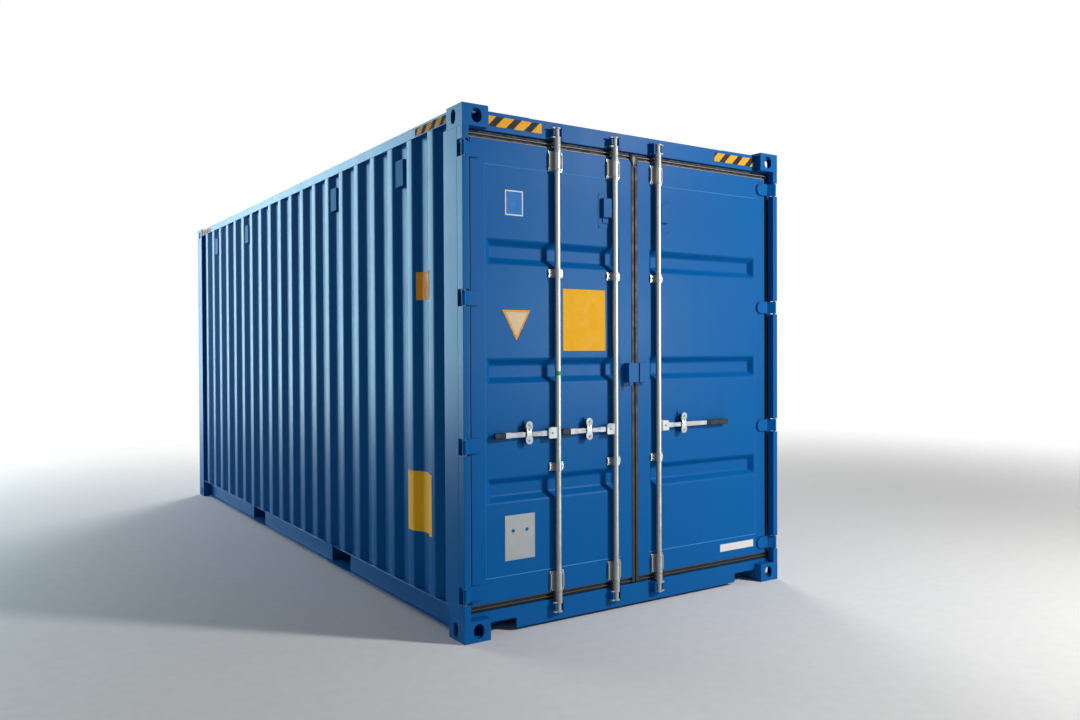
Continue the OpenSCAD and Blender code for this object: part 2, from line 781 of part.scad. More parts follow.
module hub() {
    reach = rod_d / 2 + hub_w;
    color(steel) at_door(0, handle_z) difference() {
        union() {
            for (v = [bar_v - 1 - cheek_t, bar_v + bar_t + 1]) {
                translate([-pivot_x, v, -hub_h / 2]) cube([pivot_x, cheek_t, hub_h]);
                translate([-reach, v, -hub_h / 4]) cube([reach - pivot_x, cheek_t, hub_h / 2]);
                for (s = [-1, 1]) translate([-pivot_x, v, s * hub_h / 4]) rotate([-90, 0, 0])
                    cylinder(r = hub_h / 4, h = cheek_t);
            }
            translate([-pivot_x, bar_v - cheek_t - 3, 0]) rotate([-90, 0, 0])
                cylinder(d = pivot_d, h = bar_t + 2 * cheek_t + 6);
            translate([-pivot_x, bar_v - cheek_t - 3, 0]) rotate([-90, 0, 0])
                cylinder(d = pivot_d + 8, h = 2);
        }
        translate([0, rod_v, -hub_h]) cylinder(d = rod_d + 2 * weld_gap, h = 2 * hub_h);
    }
}
module left_outer_rod() translate([-rod_outer_x, 0, 0]) rod();
module left_inner_rod() translate([-rod_inner_x, 0, 0]) rod();
module right_rod() translate([rod_inner_x, 0, 0]) rod();
module left_outer_cams() translate([-rod_outer_x, 0, 0]) cams();
module left_inner_cams() translate([-rod_inner_x, 0, 0]) cams();
module right_cams() flip_x() left_inner_cams();
module left_outer_hub() translate([-rod_outer_x, 0, 0]) hub();
module left_inner_hub() translate([-rod_inner_x, 0, 0]) hub();
module right_hub() flip_x() left_inner_hub();

// Handles
module handle(reach) {
    eye = pivot_x - rod_d / 2 - 12;
    color(steel) at_door(0, handle_z) {
        difference() {
            union() {
                translate([-pivot_x, bar_v, 0]) rotate([-90, 0, 0]) cylinder(r = eye, h = bar_t);
                translate([grip_l - reach, bar_v, -bar_h / 2]) cube([reach - grip_l - pivot_x, bar_t, bar_h]);
                translate([grip_h / 2 - reach, bar_mid - grip_t / 2, -grip_h / 2])
                    cube([grip_l - grip_h / 2, grip_t, grip_h]);
                translate([grip_h / 2 - reach, bar_mid - grip_t / 2, 0]) rotate([-90, 0, 0])
                    cylinder(d = grip_h, h = grip_t);
            }
            translate([-pivot_x, bar_v - 1, 0]) rotate([-90, 0, 0])
                cylinder(d = pivot_d + pin_play, h = bar_t + 2);
        }
        catch_plate();
    }
}
module catch_plate() {
    t = catch_t - weld_gap;
    translate([-holder_x, bar_v - catch_t, 0]) {
        for (z = [catch_d, -catch_d * 0.85]) translate([0, 0, z]) rotate([-90, 0, 0])
            cylinder(d = catch_d, h = t);
        translate([-catch_d / 3, 0, -catch_d * 0.85]) cube([catch_d * 2 / 3, t, catch_d * 1.85]);
    }
}
module left_outer_handle() translate([-rod_outer_x, 0, 0]) handle(reach_outer);
module left_inner_handle() translate([-rod_inner_x, 0, 0]) handle(reach_inner);
module right_handle() flip_x() translate([-rod_inner_x, 0, 0]) handle(reach_right);

// Rod bearings on the leaves
module bearing(h, seat) {
    difference() {
        union() {
            translate([-bearing_w / 2, leaf_v - bearing_t, -h / 2]) cube([bearing_w, seat - leaf_v + bearing_t, h]);
            for (s = [-1, 1]) translate([s * (bearing_w / 2 - 3), leaf_v - bearing_t - 1.5, 0])
                cube([6, 5, h - 20], center = true);
            translate([-sleeve_d / 2, rod_v, -h / 2]) cube([sleeve_d, leaf_v - rod_v, h]);
            translate([0, rod_v, -h / 2]) cylinder(d = sleeve_d, h = h);
            for (z = [-h / 2, h / 2 - 7]) translate([0, rod_v, z]) cylinder(d = collar_d, h = 7);
        }
        translate([0, rod_v, -h / 2 - 1]) cylinder(d = rod_d + rod_play, h = h + 2);
    }
}
module bearings(x) {
    for (z = bearing_z) at_door(x, z) bearing(bearing_h, leaf_v);
    for (z = guide_z) at_door(x, z) bearing(guide_h, panel_v);
}
module left_rod_bearings() {
    color(steel) {
        bearings(-rod_outer_x);
        bearings(-rod_inner_x);
    }
}
module right_rod_bearings() color(steel) bearings(rod_inner_x);

// Keepers on header and sill that the cams turn in
module keeper() {
    gap = neck_d / 2 + keeper_gap;
    tall = cam_d / 2 + keeper_gap;
    h = cam_h - 2 * cam_t - 2 * keeper_gap;
    translate([-gap - keeper_t, frame_v - bearing_t, -h / 2]) cube([gap + tall + 2 * keeper_t, bearing_t, h]);
    translate([-gap - keeper_t, rod_v - 8, -h / 2]) cube([keeper_t, frame_v - rod_v + 8, h]);
    translate([tall, rod_v - 8, -keeper_h / 2]) cube([keeper_t, frame_v - rod_v + 8, keeper_h]);
    for (z = [-keeper_h / 2, keeper_h / 2 - 6])
        translate([tall, rod_v + 8, z]) cube([keeper_t + keeper_ear, frame_v - rod_v - 8, 6]);
}
module cam_keepers() {
    color(steel) for (z = [cam_low, cam_high_z]) {
        for (x = [-rod_outer_x, -rod_inner_x]) at_door(x, z) keeper();
        flip_x() at_door(-rod_inner_x, z) keeper();
    }
}

// Handle holders: a plate behind the bar and a shelf below it
module holder() {
    shelf = handle_z - grip_h / 2 - 1.5 - holder_z;
    translate([-holder_w / 2, leaf_v - bearing_t, -holder_h / 2])
        cube([holder_w, panel_v - leaf_v + bearing_t, holder_h]);
    translate([-holder_w / 2, bar_mid, shelf - 10]) cube([holder_w, leaf_v - bar_mid, 10]);
}
module left_handle_holders() {
    color(steel) for (x = [-rod_outer_x, -rod_inner_x])
        at_door(x - holder_x, holder_z) holder();
}
module right_handle_holder() color(steel) at_door(rod_inner_x + holder_x, holder_z) holder();

// Door vents
module left_door_vent() {
    hood_w = door_vent_w - 34;
    hood_h = door_vent_h - 60;
    color(blue) at_door(-door_vent_x, door_vent_z) difference() {
        union() {
            translate([-door_vent_w / 2, leaf_v - hood_t + 1, -door_vent_h / 2])
                cube([door_vent_w, hood_t, door_vent_h]);
            translate([-hood_w / 2 + 12, leaf_v - 6, -hood_h / 2]) cube([hood_w, 6, hood_h]);
        }
        translate([-hood_w / 2 + 12 + hood_t, leaf_v - 6 + hood_t, -hood_h / 2 - 1])
            cube([hood_w - 2 * hood_t, 10, hood_h - hood_t + 1]);
    }
}
module right_door_vent() flip_x() left_door_vent();

// Lock box halves
module lock_box_half() {
    at_door(-lock_w, lock_low) translate([0, lock_v, 0]) difference() {
        cube([lock_w - seal_mid, leaf_v - lock_v, lock_h]);
        translate([lock_t, lock_t, -1])
            cube([lock_w, leaf_v - lock_v - lock_t, lock_h - lock_t + 1]);
        translate([lock_t, lock_t, -1])
            cube([leaf_x0 + lock_t, leaf_v, lock_h - lock_t + 1]);
    }
}
module left_lock_box() {
    color(blue) {
        lock_box_half();
        at_door(-lock_w, lock_low - 22) translate([6, lock_v, 0]) cube([20, lock_t, 24]);
    }
}
module right_lock_box() {
    color(blue) {
        flip_x() lock_box_half();
        at_door(lock_w - eps, lock_low + lock_h * 0.32) translate([0, leaf_v - lock_t - 2, 0])
            cube([lock_flange + eps, lock_t + 2, lock_h * 0.66]);
    }
}

bottom_castings();
top_castings();
door_posts();
door_post_edges();
front_posts();
door_header();
door_sill();
front_top_rail();
front_bottom_rail();
top_side_rails();
bottom_side_rails();
cross_members();
fork_pocket_members();
fork_pocket_plates();
floor_boards();
left_wall();
right_wall();
front_wall();
roof_panel();
roof_corner_plates();
wall_vents();
cam_keepers();
hinge_pins();
left_door_frame();
left_door_panel();
left_door_seal();
left_door_hinges();
left_rod_bearings();
left_handle_holders();
left_door_vent();
left_lock_box();
right_door_frame();
right_door_panel();
right_door_seal();
right_door_hinges();
right_rod_bearings();
right_handle_holder();
right_door_vent();
right_lock_box();
left_outer_rod();
left_inner_rod();
right_rod();
left_outer_cams();
left_inner_cams();
right_cams();
left_outer_hub();
left_inner_hub();
right_hub();
left_outer_handle();
left_inner_handle();
right_handle();
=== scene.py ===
"""High-cube freight container: finishes, pressed sheets, small fittings, light and camera.

Every length is in metres in the frame's own axes: X across, Y from the doors to the front wall, Z up.
A place that is called back is a distance from the door-end face into the container.
"""
from __future__ import annotations

import json
import logging
import math
from contextlib import contextmanager
from dataclasses import dataclass, replace
from enum import Enum
from typing import Callable, Iterable, Iterator, Sequence

import bpy
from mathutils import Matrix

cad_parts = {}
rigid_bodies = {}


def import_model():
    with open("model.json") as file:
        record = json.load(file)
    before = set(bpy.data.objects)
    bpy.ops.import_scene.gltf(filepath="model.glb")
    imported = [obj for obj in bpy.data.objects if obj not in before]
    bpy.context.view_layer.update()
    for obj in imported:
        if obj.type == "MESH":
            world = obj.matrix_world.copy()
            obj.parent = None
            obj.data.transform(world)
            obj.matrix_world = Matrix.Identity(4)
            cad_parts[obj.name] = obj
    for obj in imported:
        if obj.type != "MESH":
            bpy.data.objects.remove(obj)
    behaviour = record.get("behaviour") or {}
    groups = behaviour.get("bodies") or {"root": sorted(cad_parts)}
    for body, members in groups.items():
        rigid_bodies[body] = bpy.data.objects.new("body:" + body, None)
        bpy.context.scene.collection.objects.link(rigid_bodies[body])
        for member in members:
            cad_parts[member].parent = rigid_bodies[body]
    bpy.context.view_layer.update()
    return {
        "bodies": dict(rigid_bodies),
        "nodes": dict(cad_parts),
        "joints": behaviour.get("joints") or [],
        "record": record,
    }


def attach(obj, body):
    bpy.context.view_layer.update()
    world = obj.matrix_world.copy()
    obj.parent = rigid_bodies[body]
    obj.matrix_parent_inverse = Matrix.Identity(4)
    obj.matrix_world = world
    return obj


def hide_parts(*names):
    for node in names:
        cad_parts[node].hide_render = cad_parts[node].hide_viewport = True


LOG = logging.getLogger("container")
Point = tuple[float, float, float]
Span = tuple[float, float]
Area = tuple[Span, Span]
Object, Mesh, Material = bpy.types.Object, bpy.types.Mesh, bpy.types.Material
Tree, Node, Socket = bpy.types.NodeTree, bpy.types.Node, bpy.types.NodeSocket
Kit = tuple[Tree, Tree]

LENGTH, WIDTH, HEIGHT = 6.058, 2.438, 2.896
END_Y, SIDE_X = -LENGTH / 2, -WIDTH / 2
CASTING = (0.162, 0.178, 0.118)
BASE_TOP, WALL_TOP = 0.175, 2.820
LEAF_X, LEAF_Z, LEAF_BACK = (0.023, 1.145), (0.184, 2.730), 0.050
STILE, MEMBER, SHEET = 0.090, 0.135, 0.002
MERGE = 1e-5

CONTAINER_BLUE = (0.0015, 0.1180, 0.3850)
PAINT_DUST, PRIMER = (0.150, 0.160, 0.170), (0.115, 0.060, 0.035)
OXIDE, ZINC_DUST, RUST = (0.30, 0.31, 0.31), (0.23, 0.20, 0.17), (0.22, 0.09, 0.03)
RUBBER_DUST = (0.12, 0.105, 0.090)
DARK_GRAIN, PORE, TIMBER_DUST = (0.115, 0.058, 0.028), (0.06, 0.032, 0.018), (0.24, 0.21, 0.17)


class Axis(Enum):
    """Turn of a turned piece, so that it grows up or out of the door end."""

    Z = (0.0, 0.0, 0.0)
    Y = (math.pi / 2, 0.0, 0.0)


class Slot(Enum):
    """Material slots of the record, passed along with new pieces."""

    PAINT = "blue_paint"
    ZINC = "zinc_steel"
    RUBBER = "seal_rubber"


class Kind(Enum):
    """What edit mode selects."""

    EDGES = (False, True, False)
    FACES = (False, False, True)


class Side(Enum):
    """Which door leaf."""

    LEFT = -1
    RIGHT = 1

    @property
    def key(self) -> str:
        """The leaf's name in the frame."""
        return self.name.lower()

    @property
    def body(self) -> str:
        """The body that carries the leaf."""
        return self.key + "_door"


# Shader building


def shade(colour: Point, factor: float, lift: float = 0.0) -> Point:
    """Scales a colour and adds a little light to it."""
    return tuple(c * factor + lift for c in colour)


class Graph:
    """Short calls for wiring one shader tree."""

    def __init__(self, tree: Tree) -> None:
        """Keeps the tree that the calls add to."""
        self.tree = tree

    def add(self, kind: str, **settings: object) -> Node:
        """Adds a node.

        Args:
            kind: The node's type name.
            settings: Properties set on the node.

        Returns:
            The new node.
        """
        node = self.tree.nodes.new(kind)
        for key, value in settings.items():
            setattr(node, key, value)
        return node

    def wire(self, source: Socket, target: Socket) -> None:
        """Links one socket to another."""
        self.tree.links.new(source, target)

    def put(self, socket: Socket, value: Socket | Point | float) -> None:
        """Feeds an input.

        Args:
            socket: The input.
            value: An output to link, a colour or a number.
        """
        if isinstance(value, Socket):
            self.wire(value, socket)
        else:
            socket.default_value = (*value, 1.0) if isinstance(value, tuple) else value

    def math(self, kind: str, a: Socket | float, b: Socket | float = 0.0, clamp: bool = False) -> Socket:
        """Adds a Math node.

        Args:
            kind: The operation.
            a: First value.
            b: Second value.
            clamp: Keeps the result from 0 to 1.

        Returns:
            The result.
        """
        node = self.add("ShaderNodeMath", operation=kind, use_clamp=clamp)
        self.put(node.inputs[0], a)
        self.put(node.inputs[1], b)
        return node.outputs[0]

    def span(self, value: Socket, low: float, high: float, start: float = 0.0, end: float = 1.0) -> Socket:
        """Maps low..high to start..end, smoothly and clamped.

        Args:
            value: The value to map.
            low: Value that gives start.
            high: Value that gives end.
            start: Result at low.
            end: Result at high.

        Returns:
            The mapped value.
        """
        node = self.add("ShaderNodeMapRange", interpolation_type="SMOOTHSTEP", clamp=True)
        self.wire(value, node.inputs["Value"])
        for name, number in (("From Min", low), ("From Max", high), ("To Min", start), ("To Max", end)):
            node.inputs[name].default_value = number
        return node.outputs["Result"]

    def blend(self, share: Socket | float, a: Socket | Point, b: Socket | Point) -> Socket:
        """Mixes two colours.

        Args:
            share: How much of the second colour.
            a: First colour.
            b: Second colour.

        Returns:
            The mixed colour.
        """
        node = self.add("ShaderNodeMix", data_type="RGBA")
        self.put(node.inputs[0], share)
        self.put(node.inputs[6], a)
        self.put(node.inputs[7], b)
        return node.outputs[2]

    def place(self, stretch: Point = (1.0, 1.0, 1.0)) -> Socket:
        """Object coordinates, stretched along the axes.

        Args:
            stretch: Scale of the pattern along X, Y and Z.

        Returns:
            The vector.
        """
        where = self.add("ShaderNodeTexCoord")
        turn = self.add("ShaderNodeMapping")
        turn.inputs["Scale"].default_value = stretch
        self.wire(where.outputs["Object"], turn.inputs["Vector"])
        return turn.outputs["Vector"]

    def split(self) -> Node:
        """Object coordinates as three values.

        Returns:
            The node that splits them.
        """
        node = self.add("ShaderNodeSeparateXYZ")
        self.wire(self.place(), node.inputs[0])
        return node

    def noise(self, scale: float, detail: float = 3.0, stretch: Point = (1.0, 1.0, 1.0), rough: float = 0.5) -> Socket:
        """Adds a noise pattern.

        Args:
            scale: Features per metre.
            detail: Number of finer layers.
            stretch: Scale along X, Y and Z.
            rough: Strength of the finer layers.

        Returns:
            The pattern's value.
        """
        node = self.add("ShaderNodeTexNoise")
        self.wire(self.place(stretch), node.inputs["Vector"])
        for name, number in (("Scale", scale), ("Detail", detail), ("Roughness", rough)):
            node.inputs[name].default_value = number
        return node.outputs["Fac"]

    def group(self, tree: Tree, **values: float) -> Node:
        """Places a shader group.

        Args:
            tree: The group.
            values: Values of its inputs, by name.

        Returns:
            The group node.
        """
        node = self.add("ShaderNodeGroup", node_tree=tree)
        for name, value in values.items():
            node.inputs[name].default_value = value
        return node

    def finish(self, kind: str, share: Socket, first: Node, second: Node) -> None:
        """Mixes two shaders into an output node.

        Args:
            kind: Type name of the output node.
            share: How much of the second shader.
            first: First shader.
            second: Second shader.
        """
        mix = self.add("ShaderNodeMixShader")
        for target, source in zip(mix.inputs, (share, first.outputs[0], second.outputs[0])):
            self.wire(source, target)
        self.wire(mix.outputs[0], self.add(kind).inputs["Surface"])


def new_group(name: str, inputs: dict[str, float], outputs: Sequence[str]) -> tuple[Graph, Node, Node]:
    """Starts a shader group.

    Args:
        name: The group's name.
        inputs: Its value inputs with their defaults.
        outputs: Its value outputs.

    Returns:
        Its graph, input node and output node.
    """
    tree = bpy.data.node_groups.new(name, "ShaderNodeTree")
    for label, value in inputs.items():
        tree.interface.new_socket(name=label, in_out="INPUT", socket_type="NodeSocketFloat").default_value = value
    for label in outputs:
        tree.interface.new_socket(name=label, in_out="OUTPUT", socket_type="NodeSocketFloat")
    graph = Graph(tree)
    return graph, graph.add("NodeGroupInput"), graph.add("NodeGroupOutput")


def weather_group() -> Tree:
    """Builds the wear of the weather: dust near the ground, rain streaks, small chips and sheet ripple.

    Returns:
        The group.
    """
    g, given, made = new_group(
        "outdoor_wear", {"Splash": 0.45, "Streaks": 0.5, "Chips": 0.5}, ("Dust", "Streak", "Chip", "Ripple"))
    broad = g.noise(2.2, 4.0)
    fine = g.noise(38.0, 5.0)
    low = g.math("DIVIDE", g.split().outputs["Z"], given.outputs["Splash"])
    near = g.math("POWER", g.math("SUBTRACT", 1.0, low, clamp=True), 1.6)
    dust = g.math("MULTIPLY", near, g.span(fine, 0.30, 0.72, 0.35, 1.0))
    dust = g.math("ADD", dust, g.span(broad, 0.50, 0.80, 0.0, 0.22), clamp=True)
    g.wire(dust, made.inputs["Dust"])
    runs = g.noise(9.0, 4.0, (1.6, 1.6, 0.10), 0.6)
    g.wire(g.math("MULTIPLY", g.span(runs, 0.52, 0.78), given.outputs["Streaks"]), made.inputs["Streak"])
    spots = g.math("MULTIPLY", g.span(g.noise(85.0, 2.0), 0.69, 0.73), g.span(g.noise(5.0, 3.0), 0.52, 0.64))
    g.wire(g.math("MULTIPLY", spots, given.outputs["Chips"]), made.inputs["Chip"])
    ripple = g.math("ADD", g.noise(3.5, 2.0), g.math("MULTIPLY", g.noise(11.0, 2.0), 0.22))
    g.wire(ripple, made.inputs["Ripple"])
    return g.tree


def grain_group() -> Tree:
    """Builds the fine texture of a surface: spray peel of paint or the tooth of rubber.

    Returns:
        The group.
    """
    g, given, made = new_group("fine_grain", {"Depth": 0.5}, ("Height",))
    total = g.math("ADD", g.noise(420.0, 2.0), g.math("MULTIPLY", g.noise(1500.0, 1.0), 0.35))
    g.wire(g.math("MULTIPLY", total, given.outputs["Depth"]), made.inputs["Height"])
    return g.tree


class Surface(Graph):
    """Graph of one material, with its surface shader and the shared groups at hand."""

    def __init__(self, material: Material, kit: Kit) -> None:
        """Clears the material and adds its surface shader.

        Args:
            material: The material.
            kit: The groups for outdoor wear and fine grain.
        """
        material.use_nodes = True
        super().__init__(material.node_tree)
        self.tree.nodes.clear()
        self.wear, self.grain = kit
        self.shader = self.add("ShaderNodeBsdfPrincipled")
        out = self.add("ShaderNodeOutputMaterial")
        self.wire(self.shader.outputs["BSDF"], out.inputs["Surface"])

    def feed(self, name: str, value: Socket | float) -> None:
        """Feeds an input of the surface shader."""
        self.put(self.shader.inputs[name], value)

    def worn(self, splash: float, streaks: float, chips: float) -> bpy.types.NodeOutputs:
        """Outdoor wear up to a height, with the strength of its streaks and chips."""
        return self.group(self.wear, Splash=splash, Streaks=streaks, Chips=chips).outputs

    def peel(self, depth: float) -> Socket:
        """Height of the fine grain."""
        return self.group(self.grain, Depth=depth).outputs["Height"]

    def share(self, value: Socket, factor: float) -> Socket:
        """A part of a value."""
        return self.math("MULTIPLY", value, factor)

    def bump(self, *layers: tuple[Socket, float]) -> None:
        """Adds bump to the surface.

        Args:
            layers: Height and depth in metres of each layer.
        """
        before = None
        for height, depth in layers:
            node = self.add("ShaderNodeBump")
            node.inputs["Strength"].default_value = 1.0
            node.inputs["Distance"].default_value = depth
            self.wire(height, node.inputs["Height"])
            if before is not None:
                self.wire(before, node.inputs["Normal"])
            before = node.outputs["Normal"]
        self.feed("Normal", before)


@dataclass(frozen=True)
class Finish:
    """A surface finish. Colours are linear."""

    name: str
    colour: Point
    roughness: float = 0.5
    metallic: float = 0.0

    def build(self, kit: Kit) -> Material:
        """Makes the material.

        Args:
            kit: The groups for outdoor wear and fine grain.

        Returns:
            The material.
        """
        material = bpy.data.materials.new(self.name)
        g = Surface(material, kit)
        g.feed("Metallic", self.metallic)
        self.cover(g)
        return material

    def cover(self, g: Surface) -> None:
        """Wires colour, roughness and bump, which each finish does in its own way."""
        raise NotImplementedError

    def rough(self, g: Surface, pattern: Socket, below: float, above: float, high: float = 0.70) -> Socket:
        """Roughness that follows a pattern.

        Args:
            g: The material's graph.
            pattern: The pattern.
            below: How far the roughness falls.
            above: How far it rises.
            high: Value of the pattern where the roughness is highest.

        Returns:
            The roughness.
        """
        return g.span(pattern, 0.30, high, self.roughness - below, self.roughness + above)


@dataclass(frozen=True)
class Paint(Finish):
    """Semi-gloss spray paint on steel, with dust, rain streaks and chips."""

    roughness: float = 0.34
    splash: float = 0.42
    ripple: float = 0.0004
    fade: float = 0.30

    def cover(self, g: Surface) -> None:
        """Lays sun-faded patches, streaks, dust and chips over the paint.

        Args:
            g: The material's graph.
        """
        worn, peel = g.worn(self.splash, 0.5, 0.8), g.peel(0.5)
        faded = g.span(g.noise(0.9, 3.0), 0.34, 0.70, 0.0, self.fade)
        colour = g.blend(faded, self.colour, shade(self.colour, 1.10, 0.001))
        colour = g.blend(g.share(worn["Streak"], 0.55), colour, shade(self.colour, 0.80))
        colour = g.blend(g.share(worn["Dust"], 0.045), colour, PAINT_DUST)
        g.feed("Base Color", g.blend(worn["Chip"], colour, PRIMER))
        rough = self.rough(g, g.noise(6.0, 4.0), 0.010, 0.015, high=0.72)
        g.feed("Roughness", g.math("ADD", rough, g.share(worn["Dust"], 0.12), clamp=True))
        g.feed("Specular IOR Level", 0.035)
        g.bump((worn["Ripple"], self.ripple), (peel, 0.00012))


@dataclass(frozen=True)
class Galvanised(Finish):
    """Hot-dip zinc with flakes, dull oxide and a few rust points."""

    roughness: float = 0.38
    metallic: float = 0.70

    def cover(self, g: Surface) -> None:
        """Lays flakes, oxide, dust and rust points over the zinc.

        Args:
            g: The material's graph.
        """
        worn, peel = g.worn(0.30, 0.6, 0.7), g.peel(0.6)
        flakes = g.add("ShaderNodeTexVoronoi")
        g.wire(g.place(), flakes.inputs["Vector"])
        flakes.inputs["Scale"].default_value = 95.0
        split = g.add("ShaderNodeSeparateColor")
        g.wire(flakes.outputs["Color"], split.inputs[0])
        tone, height, _ = split.outputs
        colour = g.blend(g.share(tone, 0.45), self.colour, shade(self.colour, 0.74))
        colour = g.blend(g.span(g.noise(14.0, 5.0), 0.50, 0.72, 0.0, 0.45), colour, OXIDE)
        colour = g.blend(g.share(worn["Dust"], 0.30), colour, ZINC_DUST)
        g.feed("Base Color", g.blend(worn["Chip"], colour, RUST))
        g.feed("Roughness", self.rough(g, g.noise(22.0, 4.0), 0.08, 0.16, high=0.72))
        g.bump((height, 0.00005), (peel, 0.00010))


@dataclass(frozen=True)
class Rubber(Finish):
    """Extruded door seal with a dusty bloom."""

    roughness: float = 0.56
    dust: float = 0.22

    def cover(self, g: Surface) -> None:
        """Lays bloom and dust over the rubber.

        Args:
            g: The material's graph.
        """
        worn, tooth = g.worn(0.6, 0.5, 0.0), g.peel(0.8)
        bloom = g.span(g.noise(17.0, 5.0), 0.40, 0.75, 0.0, 0.35)
        colour = g.blend(bloom, self.colour, shade(self.colour, 1.6, 0.004))
        g.feed("Base Color", g.blend(g.share(worn["Dust"], self.dust), colour, RUBBER_DUST))
        g.feed("Roughness", self.rough(g, g.noise(30.0, 3.0), 0.10, 0.15))
        g.feed("Specular IOR Level", 0.15)
        g.bump((tooth, 0.00025))


@dataclass(frozen=True)
class Film(Finish):
    """Printed film or a thin enamelled plate, a little scuffed."""

    roughness: float = 0.44
    scuff: Point = (0.55, 0.53, 0.49)

    def cover(self, g: Surface) -> None:
        """Lays scuffs, streaks and the film's own pattern over its colour.

        Args:
            g: The material's graph.
        """
        worn, peel = g.worn(0.5, 0.6, 0.3), g.peel(0.4)
        colour = g.blend(g.span(g.noise(7.0, 5.0), 0.48, 0.80, 0.0, 0.30), self.colour, self.scuff)
        colour = g.blend(g.share(worn["Streak"], 0.35), colour, shade(self.colour, 0.6))
        g.feed("Base Color", self.pattern(g, colour))
        g.feed("Roughness", self.rough(g, g.noise(25.0, 3.0), 0.07, 0.12))
        g.feed("Specular IOR Level", 0.06)
        g.bump((peel, 0.00008))

    def pattern(self, g: Surface, colour: Socket) -> Socket:
        """Leaves the colour plain; a striped film has its own pattern."""
        return colour


@dataclass(frozen=True)
class HazardFilm(Film):
    """Slanted dark bars on the film."""

    pitch: float = 0.117
    lean: float = 1.0
    phase: float = 0.54
    half_bar: float = 0.215
    bar: Point = (0.012, 0.012, 0.013)

    def pattern(self, g: Surface, colour: Socket) -> Socket:
        """Lays bars across the film.

        Args:
            g: The material's graph.
            colour: Colour between the bars.

        Returns:
            The striped colour.
        """
        x, y, z = g.split().outputs
        slanted = g.math("SUBTRACT", g.math("ADD", x, y), g.share(z, self.lean))
        turn = g.math("FRACT", g.math("ADD", g.math("DIVIDE", slanted, self.pitch), self.phase))
        mask = g.math("LESS_THAN", g.math("ABSOLUTE", g.math("SUBTRACT", turn, 0.5)), self.half_bar)
        return g.blend(mask, colour, self.bar)


@dataclass(frozen=True)
class Plywood(Finish):
    """Varnished floor boards with grain across the container and scuffs."""

    def cover(self, g: Surface) -> None:
        """Lays growth lines, pores and dust over the wood.

        Args:
            g: The material's graph.
        """
        worn = g.worn(1.0, 0.2, 0.3)
        lines = g.noise(7.0, 7.0, (14.0, 0.9, 2.0), 0.62)
        pores = g.noise(60.0, 4.0, (9.0, 0.5, 1.0), 0.6)
        colour = g.blend(g.span(lines, 0.34, 0.70), self.colour, DARK_GRAIN)
        colour = g.blend(g.span(pores, 0.56, 0.74, 0.0, 0.5), colour, PORE)
        g.feed("Base Color", g.blend(g.share(worn["Dust"], 0.15), colour, TIMBER_DUST))
        g.feed("Roughness", self.rough(g, lines, 0.10, 0.15))
        g.bump((lines, 0.0004), (pores, 0.0002))


